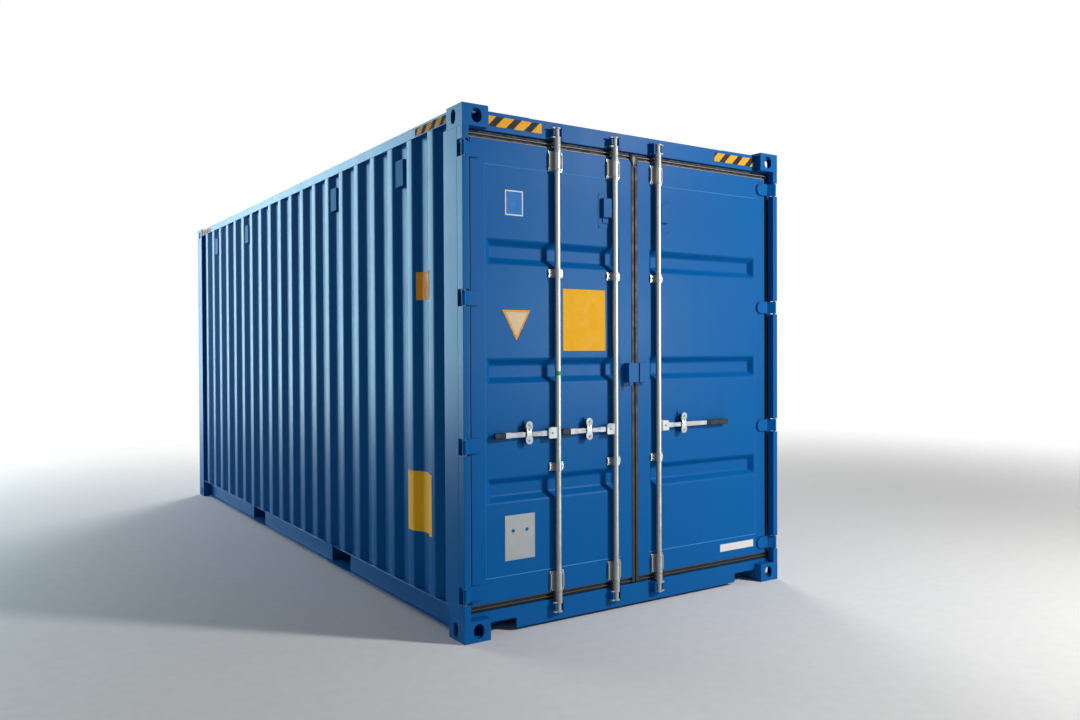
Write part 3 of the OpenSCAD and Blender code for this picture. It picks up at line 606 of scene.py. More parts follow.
class Finishes:
    """All finishes of the container, built once."""

    def __init__(self) -> None:
        """Builds the shared groups and the materials."""
        kit = weather_group(), grain_group()
        blue = CONTAINER_BLUE
        self.blue = Paint("container_blue", blue).build(kit)
        self.base_blue = Paint("container_blue_base", blue, splash=0.30, fade=0.25, ripple=0.0003).build(kit)
        # The wall vents get a lighter, brighter blue than the walls they sit on: painted light.
        self.vent_blue = Paint("container_blue_vents", (0.006, 0.175, 0.500), 0.66, fade=0.20).build(kit)
        # Lighter blue for the door panel seams: a painted highlight along the seam lines.
        self.edge = Paint("container_blue_edge", (0.060, 0.300, 0.680), fade=0.5).build(kit)
        self.zinc = Galvanised("galvanised_steel", (0.36, 0.365, 0.34)).build(kit)
        self.bright = Galvanised("bright_zinc", (0.40, 0.405, 0.40), 0.52, 0.15).build(kit)
        # Dark grey for bolt heads; the catch stems wear it too, as painted shade.
        self.bolt = Galvanised("dull_bolts", (0.10, 0.10, 0.10), 0.5, 0.6).build(kit)
        self.pin = Galvanised("dull_pins", (0.17, 0.18, 0.19), 0.50, 0.45).build(kit)
        # The seal's thin ribs are drawn lighter than its black rubber: painted highlight lines, brighter on the top
        # ribs as if lit from above.
        self.strip = Rubber("seal_strip", (0.075, 0.064, 0.060), 0.42).build(kit)
        self.pale_rib = Rubber("seal_rib_pale", (0.225, 0.205, 0.215), 0.34).build(kit)
        self.rubber = Rubber("seal_rubber", (0.008, 0.008, 0.009)).build(kit)
        self.middle = Rubber("seal_middle", (0.026, 0.027, 0.034), 0.50, dust=0.12).build(kit)
        self.grip = Rubber("grip_sleeve", (0.002, 0.003, 0.007), 0.50, dust=0.04).build(kit)
        self.timber = Plywood("floor_plywood", (0.235, 0.125, 0.058)).build(kit)
        self.yellow = Film("yellow_plate", (0.92, 0.47, 0.012), 0.58, scuff=(0.90, 0.53, 0.05)).build(kit)
        # The plates' own orange, brightened to stand out on the shaded side wall: partly painted light.
        self.orange = Film("orange_plate", (0.97, 0.40, 0.012), 0.60, scuff=(0.92, 0.46, 0.06)).build(kit)
        # The side wall's yellow plate is a brighter copy of the door plate's yellow: painted light for a plate on the
        # shaded wall.
        self.side_yellow = Film("side_yellow_plate", (0.99, 0.54, 0.008), 0.60, scuff=(0.97, 0.60, 0.05)).build(kit)
        self.white = Film("white_plate", (0.80, 0.80, 0.79), scuff=(0.62, 0.60, 0.56)).build(kit)
        self.sky = Film("pale_blue_plate", (0.030, 0.190, 0.560), scuff=(0.10, 0.26, 0.52)).build(kit)
        self.green = Film("green_band", (0.03, 0.42, 0.10), scuff=(0.12, 0.45, 0.18)).build(kit)
        self.cream = Film("cream_plate", (0.78, 0.60, 0.36), scuff=(0.80, 0.72, 0.58)).build(kit)
        self.hazard = HazardFilm("hazard_film", (0.90, 0.42, 0.010), scuff=(0.88, 0.50, 0.06)).build(kit)
        self.rail_hazard = HazardFilm(
            "rail_hazard_film", (0.86, 0.42, 0.012), 0.75, scuff=(0.86, 0.50, 0.08), lean=-1.0).build(kit)
        self.data = Film("data_plate", (0.36, 0.365, 0.37), 0.50, 0.15, scuff=(0.44, 0.43, 0.41)).build(kit)


# Modelling


def clear() -> None:
    """Deselects everything."""
    bpy.ops.object.select_all(action="DESELECT")


def pick(obj: Object) -> None:
    """Selects one object alone and makes it active.

    Args:
        obj: The object.
    """
    clear()
    obj.select_set(True)
    bpy.context.view_layer.objects.active = obj


@contextmanager
def editing() -> Iterator[None]:
    """Keeps the active piece in edit mode for a while."""
    bpy.ops.object.mode_set(mode="EDIT")
    yield
    bpy.ops.object.mode_set(mode="OBJECT")


def outwards() -> None:
    """Turns all faces of the edited piece outwards."""
    bpy.ops.mesh.select_all(action="SELECT")
    bpy.ops.mesh.normals_make_consistent(inside=False)


def choose(mesh: Mesh, kind: Kind, test: Callable[[object], bool]) -> None:
    """Selects some edges or faces and nothing else.

    Args:
        mesh: The mesh.
        kind: Edges or faces.
        test: Says whether an edge or a face is wanted.
    """
    for item in (*mesh.vertices, *mesh.edges, *mesh.polygons):
        item.select = False
    for item in mesh.edges if kind is Kind.EDGES else mesh.polygons:
        item.select = test(item)
    bpy.context.tool_settings.mesh_select_mode = kind.value


def ends(mesh: Mesh, edge: bpy.types.MeshEdge) -> list[Point]:
    """Places of an edge's two ends."""
    return [tuple(mesh.vertices[i].co) for i in edge.vertices]


def linked(name: str, mesh: Mesh) -> Object:
    """Makes an object of a copy of a mesh.

    Args:
        name: Its name.
        mesh: The mesh to copy.

    Returns:
        The object.
    """
    obj = bpy.data.objects.new(name, mesh.copy())
    bpy.context.scene.collection.objects.link(obj)
    return obj


def settle(obj: Object, name: str) -> Object:
    """Names an object and moves its place into its mesh.

    Args:
        obj: The object.
        name: Its new name.

    Returns:
        The same object, at the origin.
    """
    pick(obj)
    obj.name = obj.data.name = name
    bpy.ops.object.transform_apply(location=True, rotation=True, scale=True)
    return obj


def soften(obj: Object, width: float, segments: int = 2, angle: float = 32.0) -> Object:
    """Rounds the edges of a piece and smooths its shading.

    Args:
        obj: The piece.
        width: Width of the rounding.
        segments: Number of its segments.
        angle: Edges sharper than this are rounded, in degrees.

    Returns:
        The same piece.
    """
    pick(obj)
    if width > 0:
        bevel = obj.modifiers.new("edges", "BEVEL")
        bevel.width = width
        bevel.segments = segments
        bevel.limit_method = "ANGLE"
        bevel.angle_limit = math.radians(angle)
        bevel.use_clamp_overlap = True
        bpy.ops.object.modifier_apply(modifier=bevel.name)
    bpy.ops.object.shade_smooth_by_angle(angle=math.radians(angle))
    flats = obj.modifiers.new("flats", "WEIGHTED_NORMAL")
    flats.keep_sharp = True
    bpy.ops.object.modifier_apply(modifier=flats.name)
    return obj


def block(name: str, low: Point, high: Point, soft: float, segments: int = 2) -> Object:
    """Makes a box with rounded edges.

    Args:
        name: Name of the piece.
        low: Its lowest corner.
        high: Its highest corner.
        soft: Width of the rounding.
        segments: Segments of the rounding.

    Returns:
        The piece.
    """
    clear()
    bpy.ops.mesh.primitive_cube_add(size=1.0, location=[(a + b) / 2 for a, b in zip(low, high)])
    obj = bpy.context.object
    obj.scale = [abs(b - a) for a, b in zip(low, high)]
    return soften(settle(obj, name), soft, segments)


def bead(start: Point, end: Point, radius: float = 0.0022) -> Object:
    """Makes a straight weld bead.

    Args:
        start: One end.
        end: The other end.
        radius: Half its width.

    Returns:
        The bead.
    """
    low = [min(a, b) - radius * 0.5 for a, b in zip(start, end)]
    high = [max(a, b) + radius * 0.5 for a, b in zip(start, end)]
    return block("bead", low, high, radius * 0.42)


def plate(name: str, low: Point, high: Point, corner: float, soft: float) -> Object:
    """Makes an upright plate across the container with round corners.

    Args:
        name: Name of the piece.
        low: Its lowest corner.
        high: Its highest corner.
        corner: Radius of the corners seen from the doors' side.
        soft: Width of the edge rounding.

    Returns:
        The plate.
    """
    obj = block(name, low, high, 0.0)

    def deep(edge: bpy.types.MeshEdge) -> bool:
        """Tells an edge that runs from front to back."""
        a, b = ends(obj.data, edge)
        return abs(a[0] - b[0]) < MERGE and abs(a[2] - b[2]) < MERGE

    choose(obj.data, Kind.EDGES, deep)
    with editing():
        bpy.ops.mesh.bevel(offset=corner, segments=7, affect="EDGES")
    return soften(obj, soft)


def turned(name: str, centre: Point, axis: Axis, steps: Sequence[Span], sides: int, soft: float = 0.0,
           lean: float = 0.0) -> Object:
    """Makes a turned or many-sided piece by extruding and scaling a disc.

    Args:
        name: Name of the piece.
        centre: Middle of its first face.
        axis: Direction it grows in.
        steps: Height and radius of each ring, from the first face on.
        sides: Sides of the disc.
        soft: Width of the edge rounding.
        lean: Turn about the upright axis, in radians.

    Returns:
        The piece.
    """
    clear()
    bpy.ops.mesh.primitive_circle_add(vertices=sides, radius=steps[0][1], fill_type="NGON")
    obj = bpy.context.object
    with editing():
        bpy.ops.mesh.select_all(action="SELECT")
        at, wide = steps[0]
        for height, radius in steps[1:]:
            bpy.ops.mesh.extrude_region_move(TRANSFORM_OT_translate={"value": (0, 0, height - at)})
            bpy.ops.transform.resize(value=(radius / wide, radius / wide, 1.0))
            at, wide = height, radius
        outwards()
    tilt, roll, _ = axis.value
    obj.rotation_euler = (tilt, roll, lean)
    obj.location = centre
    return soften(settle(obj, name), soft)


def ring(radius: float, centre: Point) -> Object:
    """Makes a narrow raised ring round an upright sleeve of some radius."""
    crown = radius + 0.0014
    return turned("ring", centre, Axis.Z, ((0, radius), (0.0008, crown), (0.0032, crown), (0.004, radius)), 32)


def join(pieces: Sequence[Object], name: str) -> Object:
    """Joins pieces into one.

    Args:
        pieces: The pieces.
        name: Name of the result.

    Returns:
        The joined piece, at the origin.
    """
    pick(pieces[0])
    for piece in pieces:
        piece.select_set(True)
    if len(pieces) > 1:
        bpy.ops.object.join()
    return settle(bpy.context.view_layer.objects.active, name)


def repeat(obj: Object, name: str, moves: Iterable[Point]) -> Object:
    """Copies a piece to each place and joins the copies.

    Args:
        obj: The piece at the first place, which is used up.
        name: Name of the joined piece.
        moves: Shift of each copy from the piece.

    Returns:
        The joined piece.
    """
    made = []
    for move in moves:
        made.append(linked(name, obj.data))
        made[-1].location = move
    bpy.data.objects.remove(obj)
    return join(made, name)


def mirrored(obj: Object, name: str) -> Object:
    """Makes the piece of the opposite side.

    Args:
        obj: The piece to copy.
        name: Name of the copy.

    Returns:
        The mirrored copy.
    """
    twin = linked(name, obj.data)
    twin.scale = (-1, 1, 1)
    settle(twin, name)
    with editing():
        outwards()
    return twin


def thicken(obj: Object, name: str, thick: float) -> Object:
    """Gives an open sheet its thickness.

    Args:
        obj: The sheet.
        name: Its name.
        thick: Thickness; a negative one grows the other way.

    Returns:
        The sheet with two faces and closed edges.
    """
    settle(obj, name)
    wall = obj.modifiers.new("sheet", "SOLIDIFY")
    wall.thickness = abs(thick)
    wall.offset = -1.0 if thick > 0 else 1.0
    bpy.ops.object.modifier_apply(modifier=wall.name)
    with editing():
        outwards()
    bpy.ops.object.shade_smooth_by_angle(angle=math.radians(40))
    return obj


def folded(name: str, line: Sequence[Span], low: float, high: float, bend: float, thick: float) -> Object:
    """Folds an upright sheet along a line in plan, with rounded bends.

    Args:
        name: Name of the piece.
        line: Points of the sheet's face in plan.
        low: Lower edge.
        high: Upper edge.
        bend: Width of the bend rounding.
        thick: Sheet thickness, to the right of the line's direction.

    Returns:
        The sheet.
    """

    def upright(points: set[Span]) -> Callable[[bpy.types.MeshEdge], bool]:
        """Makes a test for upright edges.

        Args:
            points: Places in plan that the edges stand on.

        Returns:
            The test.
        """
        def test(edge: bpy.types.MeshEdge) -> bool:
            """Tells whether the edge stands on a point."""
            feet = [(round(x, 5), round(y, 5)) for x, y, _ in ends(obj.data, edge)]
            return feet[0] == feet[1] and feet[0] in points
        return test

    clear()
    bpy.ops.mesh.primitive_plane_add(size=1.0, location=(0, 0, 0))
    obj = bpy.context.object
    for vertex, (z, (x, y)) in zip(obj.data.vertices, [(z, point) for z in (low, high) for point in line[:2]]):
        vertex.co = (x, y, z)
    spots = [(round(x, 5), round(y, 5)) for x, y in line]
    choose(obj.data, Kind.EDGES, upright({spots[1]}))
    with editing():
        for before, after in zip(line[1:], line[2:]):
            bpy.ops.mesh.extrude_region_move(
                TRANSFORM_OT_translate={"value": (after[0] - before[0], after[1] - before[1], 0)})
        bpy.ops.mesh.select_all(action="SELECT")
        bpy.ops.mesh.remove_doubles(threshold=MERGE)
    choose(obj.data, Kind.EDGES, upright(set(spots[1:-1])))
    with editing():
        bpy.ops.mesh.bevel(offset=bend, segments=4, affect="EDGES", clamp_overlap=True)
    return thicken(obj, name, -thick)


@dataclass(frozen=True)
class Wave:
    """Corrugation of a pressed sheet. The rounding of its bends is part of it."""

    count: int
    pitch: float
    flat: float
    slope: float
    depth: float
    half: float
    bend: float

    def line(self) -> list[Span]:
        """Outer face of the sheet in plan.

        Returns:
            Its points, as distance along and depth.
        """
        points = [(-self.half, self.depth)]
        for i in range(self.count):
            c = (i - (self.count - 1) / 2) * self.pitch
            flat, foot = self.flat / 2, self.flat / 2 + self.slope
            points += [(c - foot, self.depth), (c - flat, 0.0), (c + flat, 0.0), (c + foot, self.depth)]
        return points + [(self.half, self.depth)]


@dataclass(frozen=True)
class Flat:
    """Upright plate of a lock handle.

    It lies along the handle from the rod's middle, above its middle line, and back from the end face.
    """

    along: Span
    up: Span
    back: Span
    corner: float
    soft: float


@dataclass
class Assembly:
    """What all sub-assemblies share: the frame, the finishes and how a piece is fitted."""

    frame: dict
    finishes: Finishes

    def fit(self, obj: Object, body: str, finish: Material, slot: Slot | None = None,
            nodes: Sequence[str] = ()) -> Object:
        """Dresses a finished piece and lets it ride with its body.

        Args:
            obj: The piece.
            body: Name of the body that carries it.
            finish: Its material.
            slot: Its material slot in the record, if it has one; not used.
            nodes: Nodes that it stands for.

        Returns:
            The piece.
        """
        obj.data.materials.clear()
        obj.data.materials.append(finish)
        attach(obj, body)
        if nodes:
            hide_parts(*nodes)
        LOG.info("%s rides with %s, %d faces", obj.name, body, len(obj.data.polygons))
        return obj

    def dress(self, names: Iterable[str], finish: Material) -> None:
        """Gives nodes their material.

        Args:
            names: The nodes.
            finish: The material.
        """
        for name in names:
            node = self.frame["nodes"][name]
            node.data.materials.clear()
            node.data.materials.append(finish)

    def rounded(self, node: str, body: str, finish: Material, slot: Slot, width: float, segments: int = 2) -> Object:
        """Stands a copy with rounded edges in a node's place.

        Args:
            node: Name of the node.
            body: Body that carries it.
            finish: Material of the copy.
            slot: Material slot.
            width: Width of the rounding.
            segments: Segments of the rounding.

        Returns:
            The copy.
        """
        name = node + "_rounded"
        obj = settle(linked(name, self.frame["nodes"][node].data), name)
        with editing():
            bpy.ops.mesh.select_all(action="SELECT")
            bpy.ops.mesh.remove_doubles(threshold=MERGE)
            bpy.ops.mesh.dissolve_limited(angle_limit=math.radians(0.6))
        return self.fit(soften(obj, width, segments), body, finish, slot, (node,))


@dataclass
class Shell(Assembly):
    """Castings, posts, rails, header and sill."""

    casting_edge: float = 0.0045
    plate_edge: float = 0.0020
    bead_set: float = 0.0012
    bead_start: float = 0.004
    bead_share: float = 0.98
    corner_run: float = 0.040

    def build(self) -> None:
        """Rounds the frame members and adds the seams between them."""
        f = self.finishes
        for node in ("bottom_castings", "top_castings"):
            self.rounded(node, "container", f.base_blue, Slot.PAINT, self.casting_edge, 3)
        for node in ("door_posts", "door_post_edges", "front_posts", "door_header", "door_sill", "front_top_rail",
                     "front_bottom_rail", "top_side_rails", "bottom_side_rails", "roof_corner_plates"):
            self.rounded(node, "container", f.base_blue, Slot.PAINT, self.plate_edge)
        # The vents wear the lighter blue, which paints light on them.
        self.rounded("wall_vents", "container", f.vent_blue, Slot.PAINT, self.plate_edge)
        self.dress(("cross_members", "fork_pocket_members", "fork_pocket_plates"), f.base_blue)
        self.dress(("hinge_pins",), f.pin)
        self.fit(self.seams(), "container", f.base_blue, Slot.PAINT)

    def seams(self) -> Object:
        """Lays weld beads where the posts meet the castings.

        Returns:
            The joined beads.
        """
        beads = []
        wide, long, tall = CASTING
        for z in (tall, HEIGHT - tall):
            for sx in (-1, 1):
                for sy in (-1, 1):
                    x, y = sx * WIDTH / 2, sy * LENGTH / 2
                    side, end = x - sx * self.bead_set, y - sy * self.bead_set
                    run = self.corner_run if sy < 0 else wide
                    near = self.bead_start
                    beads.append(bead((side, y - sy * long * self.bead_share, z), (side, y - sy * near, z)))
                    beads.append(bead((x - sx * near, end, z), (x - sx * run, end, z)))
        return join(beads, "casting_weld_beads")


@dataclass
class Walls(Assembly):
    """Corrugated side walls and front wall, with the plates stuck on the left wall."""

    outer: float = 0.005
    side: Wave = Wave(20, 0.278, 0.072, 0.068, 0.036, LENGTH / 2 - CASTING[1], 0.011)
    front: Wave = Wave(8, 0.250, 0.110, 0.018, 0.045, WIDTH / 2 - CASTING[0], 0.006)
    small_plate: Area = ((-2.618, -2.424), (1.873, 2.036))
    large_plate: Area = ((-2.640, -2.330), (0.510, 0.865))
    plate_bend: float = 0.0100
    plate_thick: float = 0.0005
    plate_proud: float = 0.0009

    def side_line(self) -> list[Span]:
        """Outer face of the left wall in plan, from the doors to the front."""
        return [(SIDE_X + self.outer + depth, y) for y, depth in self.side.line()]

    def build(self) -> None:
        """Stands the pressed sheets in the walls' places and sticks the plates on."""
        f = self.finishes
        left = folded("left_wall_sheet", self.side_line(), BASE_TOP, WALL_TOP, self.side.bend, SHEET)
        right = mirrored(left, "right_wall_sheet")
        line = [(x, LENGTH / 2 - self.outer - depth) for x, depth in self.front.line()]
        front = folded("front_wall_sheet", line, BASE_TOP, WALL_TOP, self.front.bend, SHEET)
        for sheet, node in ((left, "left_wall"), (right, "right_wall"), (front, "front_wall")):
            self.fit(sheet, "container", f.blue, Slot.PAINT, (node,))
        # Both side plates wear colours brightened for the shaded wall: painted light.
        for name, ((start, end), (low, high)), finish in (("side_small_plate", self.small_plate, f.orange),
                                                          ("side_large_plate", self.large_plate, f.side_yellow)):
            line = self.strip_line(start, end)
            self.fit(folded(name, line, low, high, self.plate_bend, -self.plate_thick), "container", finish)

    def strip_line(self, start: float, end: float) -> list[Span]:
        """Part of the left wall's face, a little proud of it.

        Args:
            start: First place along the wall.
            end: Last place.

        Returns:
            Points in plan.
        """
        line = self.side_line()

        def face(y: float) -> Span:
            """Point of the wall's face at a place along it."""
            (xa, ya), (xb, yb) = next(pair for pair in zip(line, line[1:]) if pair[0][1] <= y <= pair[1][1])
            return xa + (xb - xa) * (y - ya) / (yb - ya), y

        inside = [(x, y) for x, y in line if start < y < end]
        return [(x - self.plate_proud, y) for x, y in (face(start), *inside, face(end))]


@dataclass
class RoofAndFloor(Assembly):
    """Roof sheet, and floor boards with their screws."""

    screw_start: Point = (-1.085, -2.70, 0.1752)
    screw_step: Span = (0.31, 0.392)
    screw_count: tuple[int, int] = (8, 15)
    screw: Sequence[Span] = ((0, 0.0050), (0.0006, 0.0046), (0.0002, 0.0020))

    def build(self) -> None:
        """Dresses the roof and the floor and sets the floor screws."""
        f = self.finishes
        self.dress(("roof_panel",), f.blue)
        self.dress(("floor_boards",), f.timber)
        screw = turned("screw", (0, 0, self.screw_start[2]), Axis.Z, self.screw, 12)
        places = [(self.screw_start[0] + i * self.screw_step[0], self.screw_start[1] + j * self.screw_step[1], 0.0)
                  for j in range(self.screw_count[1]) for i in range(self.screw_count[0])]
        self.fit(repeat(screw, "floor_screws", places), "container", f.pin)


@dataclass(frozen=True)
class Bar:
    """Section of the four bars that run round a leaf in the seal gap, at a distance from the leaf's edge."""

    inset: float
    wide: float
    back: Span
    soft: float


@dataclass
class DoorLeaf(Assembly):
    """One door leaf: frame, pressed panel, seal, hinges, vent and lock box."""

    side: Side = Side.LEFT
    panel_back: float = 0.051
    tray_z: Sequence[float] = (0.797, 1.459, 2.121)
    tray_half: float = 0.067
    tray_depth: float = 0.036
    tray_slope: float = 0.032
    tray_bend: float = 0.009
    margin: float = 0.011
    seam_half: Span = (0.0042, 0.0014)
    seam_back: float = 0.0508
    centre_gap: float = 0.0050
    lip: Bar = Bar(0.020, 0.012, (0.056, 0.068), 0.0055)
    thin_ribs: Sequence[Bar] = (Bar(0.001, 0.006, (0.054, 0.060), 0.0016), Bar(0.022, 0.005, (0.054, 0.060), 0.0016))
    middle_x: Span = (0.0030, 0.0262)
    middle_back: Span = (0.0470, 0.0620)
    middle_z: Span = (0.150, 2.700)
    middle_edge: float = 0.0035
    hood_at: Span = (0.226, 2.420)
    hood_shift: float = 0.004
    hood_half: Span = (0.031, 0.058)
    hood_proud: float = 0.024
    hood_rim: float = 0.0025
    hood_hollow: float = 0.105
    hood_edge: float = 0.0022
    screw_z: float = 2.405
    screw_half: Span = (0.042, 0.095)
    screw: Sequence[Span] = ((0, 0.0045), (0.0022, 0.0045), (0.0030, 0.0028))
    drop: Sequence[Span] = ((0.0, 0.0060), (0.012, 0.0120), (0.026, 0.0230), (0.044, 0.0310), (0.064, 0.0325),
                            (0.080, 0.0270), (0.088, 0.0120))
    drop_flat: float = 0.34
    fold_foot: Point = (-0.003, 0.0500, 2.684)
    # The highlight is a smaller pale copy of the fold, set just proud of it: a painted highlight.
    crest_foot: Point = (-0.0110, 0.0420, 2.702)
    crest_size: float = 0.48

    @property
    def panel_box(self) -> tuple[float, float, float, float]:
        """Left, right, lower and upper edge of the panel, away from the centre line."""
        return LEAF_X[0] + STILE, LEAF_X[1] - STILE, LEAF_Z[0] + MEMBER, LEAF_Z[1] - MEMBER

    def build(self) -> None:
        """Dresses the leaf and makes its sheet, seams, seal strips and fasteners."""
        f, key, body = self.finishes, self.side.key, self.side.body
        self.rounded(key + "_door_frame", body, f.blue, Slot.PAINT, 0.0032, 3)
        self.rounded(key + "_door_hinges", body, f.blue, Slot.PAINT, 0.0014)
        self.rounded(key + "_door_vent", body, f.blue, Slot.PAINT, 0.0009)
        self.fit(self.hood(), body, f.blue, Slot.PAINT)
        self.rounded(key + "_lock_box", body, f.blue, Slot.PAINT, 0.0012)
        self.dress((key + "_door_seal",), f.rubber)
        self.fit(self.panel(), body, f.blue, Slot.PAINT, (key + "_door_panel",))
        # The seams wear the lighter blue, which paints a highlight along them.
        self.fit(self.beads(), body, f.edge, Slot.PAINT)
        self.fit(join(self.border(self.lip), key + "_seal_lip"), body, f.rubber, Slot.RUBBER)
        self.fit(self.middle_rib(), body, f.middle)
        # Top ribs in the lightest grey, lower and side ribs dimmer: painted highlights on the seal.
        self.fit(self.ribs(True), body, f.pale_rib)
        self.fit(self.ribs(False), body, f.strip)
        self.fit(self.vent_screws(), body, f.blue)
        if self.side is Side.LEFT:
            self.fit(self.fold("_seal_fold", 1.0, self.fold_foot), body, f.middle)
            # The pale copy paints a highlight on the fold.
            self.fit(self.fold("_seal_fold_crest", self.crest_size, self.crest_foot), body, f.pale_rib)

    def panel(self) -> Object:
        """Presses the three trays into the leaf's sheet.

        Returns:
            The sheet.
        """
        s, (x0, x1, z0, z1) = self.side.value, self.panel_box
        cuts = [((s * x, 0, 0), (1, 0, 0)) for x in (x0 + self.margin, x1 - self.margin)]
        cuts += [((0, 0, z + half), (0, 0, 1)) for z in self.tray_z for half in (-self.tray_half, self.tray_half)]
        clear()
        bpy.ops.mesh.primitive_plane_add(size=1.0)
        obj = bpy.context.object
        for vertex, (x, z) in zip(obj.data.vertices, [(x0, z0), (x1, z0), (x0, z1), (x1, z1)]):
            vertex.co = (s * x, END_Y + self.panel_back, z)
        with editing():
            for point, normal in cuts:
                bpy.ops.mesh.select_all(action="SELECT")
                bpy.ops.mesh.bisect(plane_co=point, plane_no=normal)

        def tray(face: bpy.types.MeshPolygon) -> bool:
            """Tells a face that becomes a tray."""
            x, _, z = face.center
            return x0 + self.margin < abs(x) < x1 - self.margin and any(abs(z - t) < 0.01 for t in self.tray_z)

        choose(obj.data, Kind.FACES, tray)
        with editing():
            bpy.ops.mesh.inset(thickness=self.tray_slope, use_individual=True, use_even_offset=True)
            bpy.ops.transform.translate(value=(0, self.tray_depth, 0))
            outwards()
        soften(obj, self.tray_bend, 4, 18.0)
        inward = max(obj.data.polygons, key=lambda face: face.area).normal.y > 0
        return thicken(obj, self.side.key + "_pressed_panel", -SHEET if inward else SHEET)

    def beads(self) -> Object:
        """Lays the seams between the panel and its frame.

        Returns:
            The joined seams.
        """
        s, y, (x0, x1, z0, z1) = self.side.value, END_Y + self.seam_back, self.panel_box
        level, upright = self.seam_half
        made = [bead((s * x0, y, z), (s * x1, y, z), level) for z in (z0, z1)]
        made += [bead((s * x, y, z0), (s * x, y, z1), upright) for x in (x0, x1)]
        return join(made, self.side.key + "_panel_seams")

    def border(self, bar: Bar) -> list[Object]:
        """Makes four bars round the leaf.

        Args:
            bar: Their section.

        Returns:
            The bars below, above, at the centre and beside the hinges.
        """
        s, wide, out, (y0, y1) = self.side.value, bar.wide, bar.inset + bar.wide, (END_Y + b for b in bar.back)
        x0, x1 = max(LEAF_X[0] - out, self.centre_gap), LEAF_X[1] + out
        z0, z1 = LEAF_Z[0] - out, LEAF_Z[1] + out
        bars = (((x0, x1), (z0, z0 + wide)), ((x0, x1), (z1 - wide, z1)),
                ((x0, x0 + wide), (z0, z1)), ((x1 - wide, x1), (z0, z1)))
        return [block("bar", (s * x[0], y0, z[0]), (s * x[1], y1, z[1]), bar.soft, 3) for x, z in bars]

    def ribs(self, top: bool) -> Object:
        """Makes thin ribs of the seal above the leaf, or below and beside it.

        Args:
            top: Makes the ribs above the leaf.

        Returns:
            The joined ribs.
        """
        made = []
        for rib in self.thin_ribs:
            below, above, centre, side = self.border(rib)
            made += [above] if top else [below, side]
            for spare in (centre, *((below, side) if top else (above,))):
                bpy.data.objects.remove(spare)
        return join(made, self.side.key + ("_top_seal_ribs" if top else "_seal_ribs"))

    def middle_rib(self) -> Object:
        """Makes the broad flat rib of the seal where the two leaves meet.

        Returns:
            The rib.
        """
        low, high = ((self.side.value * x, END_Y + back, z)
                     for x, back, z in zip(self.middle_x, self.middle_back, self.middle_z))
        return block(self.side.key + "_middle_rib", low, high, self.middle_edge, 3)

    def fold(self, name: str, grow: float, foot: Point) -> Object:
        """Makes the flat drop-shaped fold of rubber where the seals meet at the top.

        Args:
            name: Last part of the piece's name.
            grow: Share of the full width.
            foot: Its lowest point: across, back and up.

        Returns:
            The fold.
        """
        obj = turned("fold", (0.0, 0.0, 0.0), Axis.Z, self.drop, 28)
        for vertex in obj.data.vertices:
            x, y, z = vertex.co
            vertex.co = (foot[0] + x * grow, END_Y + foot[1] + y * self.drop_flat * grow,
                         foot[2] + z * (0.25 + 0.75 * grow))
        return settle(obj, self.side.key + name)

    def hood(self) -> Object:
        """Makes the raised hood of the door vent, open below.

        Returns:
            The hood.
        """
        x, z, y = self.side.value * self.hood_at[0] + self.hood_shift, self.hood_at[1], END_Y + LEAF_BACK
        (half, rise), proud = self.hood_half, self.hood_proud
        obj = block(self.side.key + "_vent_hood", (x - half, y - proud, z - rise), (x + half, y - SHEET, z + rise), 0.0)
        choose(obj.data, Kind.FACES, lambda face: face.normal.z < -0.9)
        with editing():
            bpy.ops.mesh.inset(thickness=self.hood_rim)
            bpy.ops.transform.translate(value=(0, 0, self.hood_hollow))
        return soften(obj, self.hood_edge)

    def vent_screws(self) -> Object:
        """Sets the four screws of the door vent.

        Returns:
            The joined screws.
        """
        screw = turned("screw", (0, END_Y + LEAF_BACK - 0.0008, 0), Axis.Y, self.screw, 12, 0.0004)
        x, (wide, tall) = self.side.value * self.hood_at[0], self.screw_half
        places = [(x + dx, 0, self.screw_z + dz) for dx in (-wide, wide) for dz in (-tall, tall)]
        return repeat(screw, self.side.key + "_vent_screws", places)


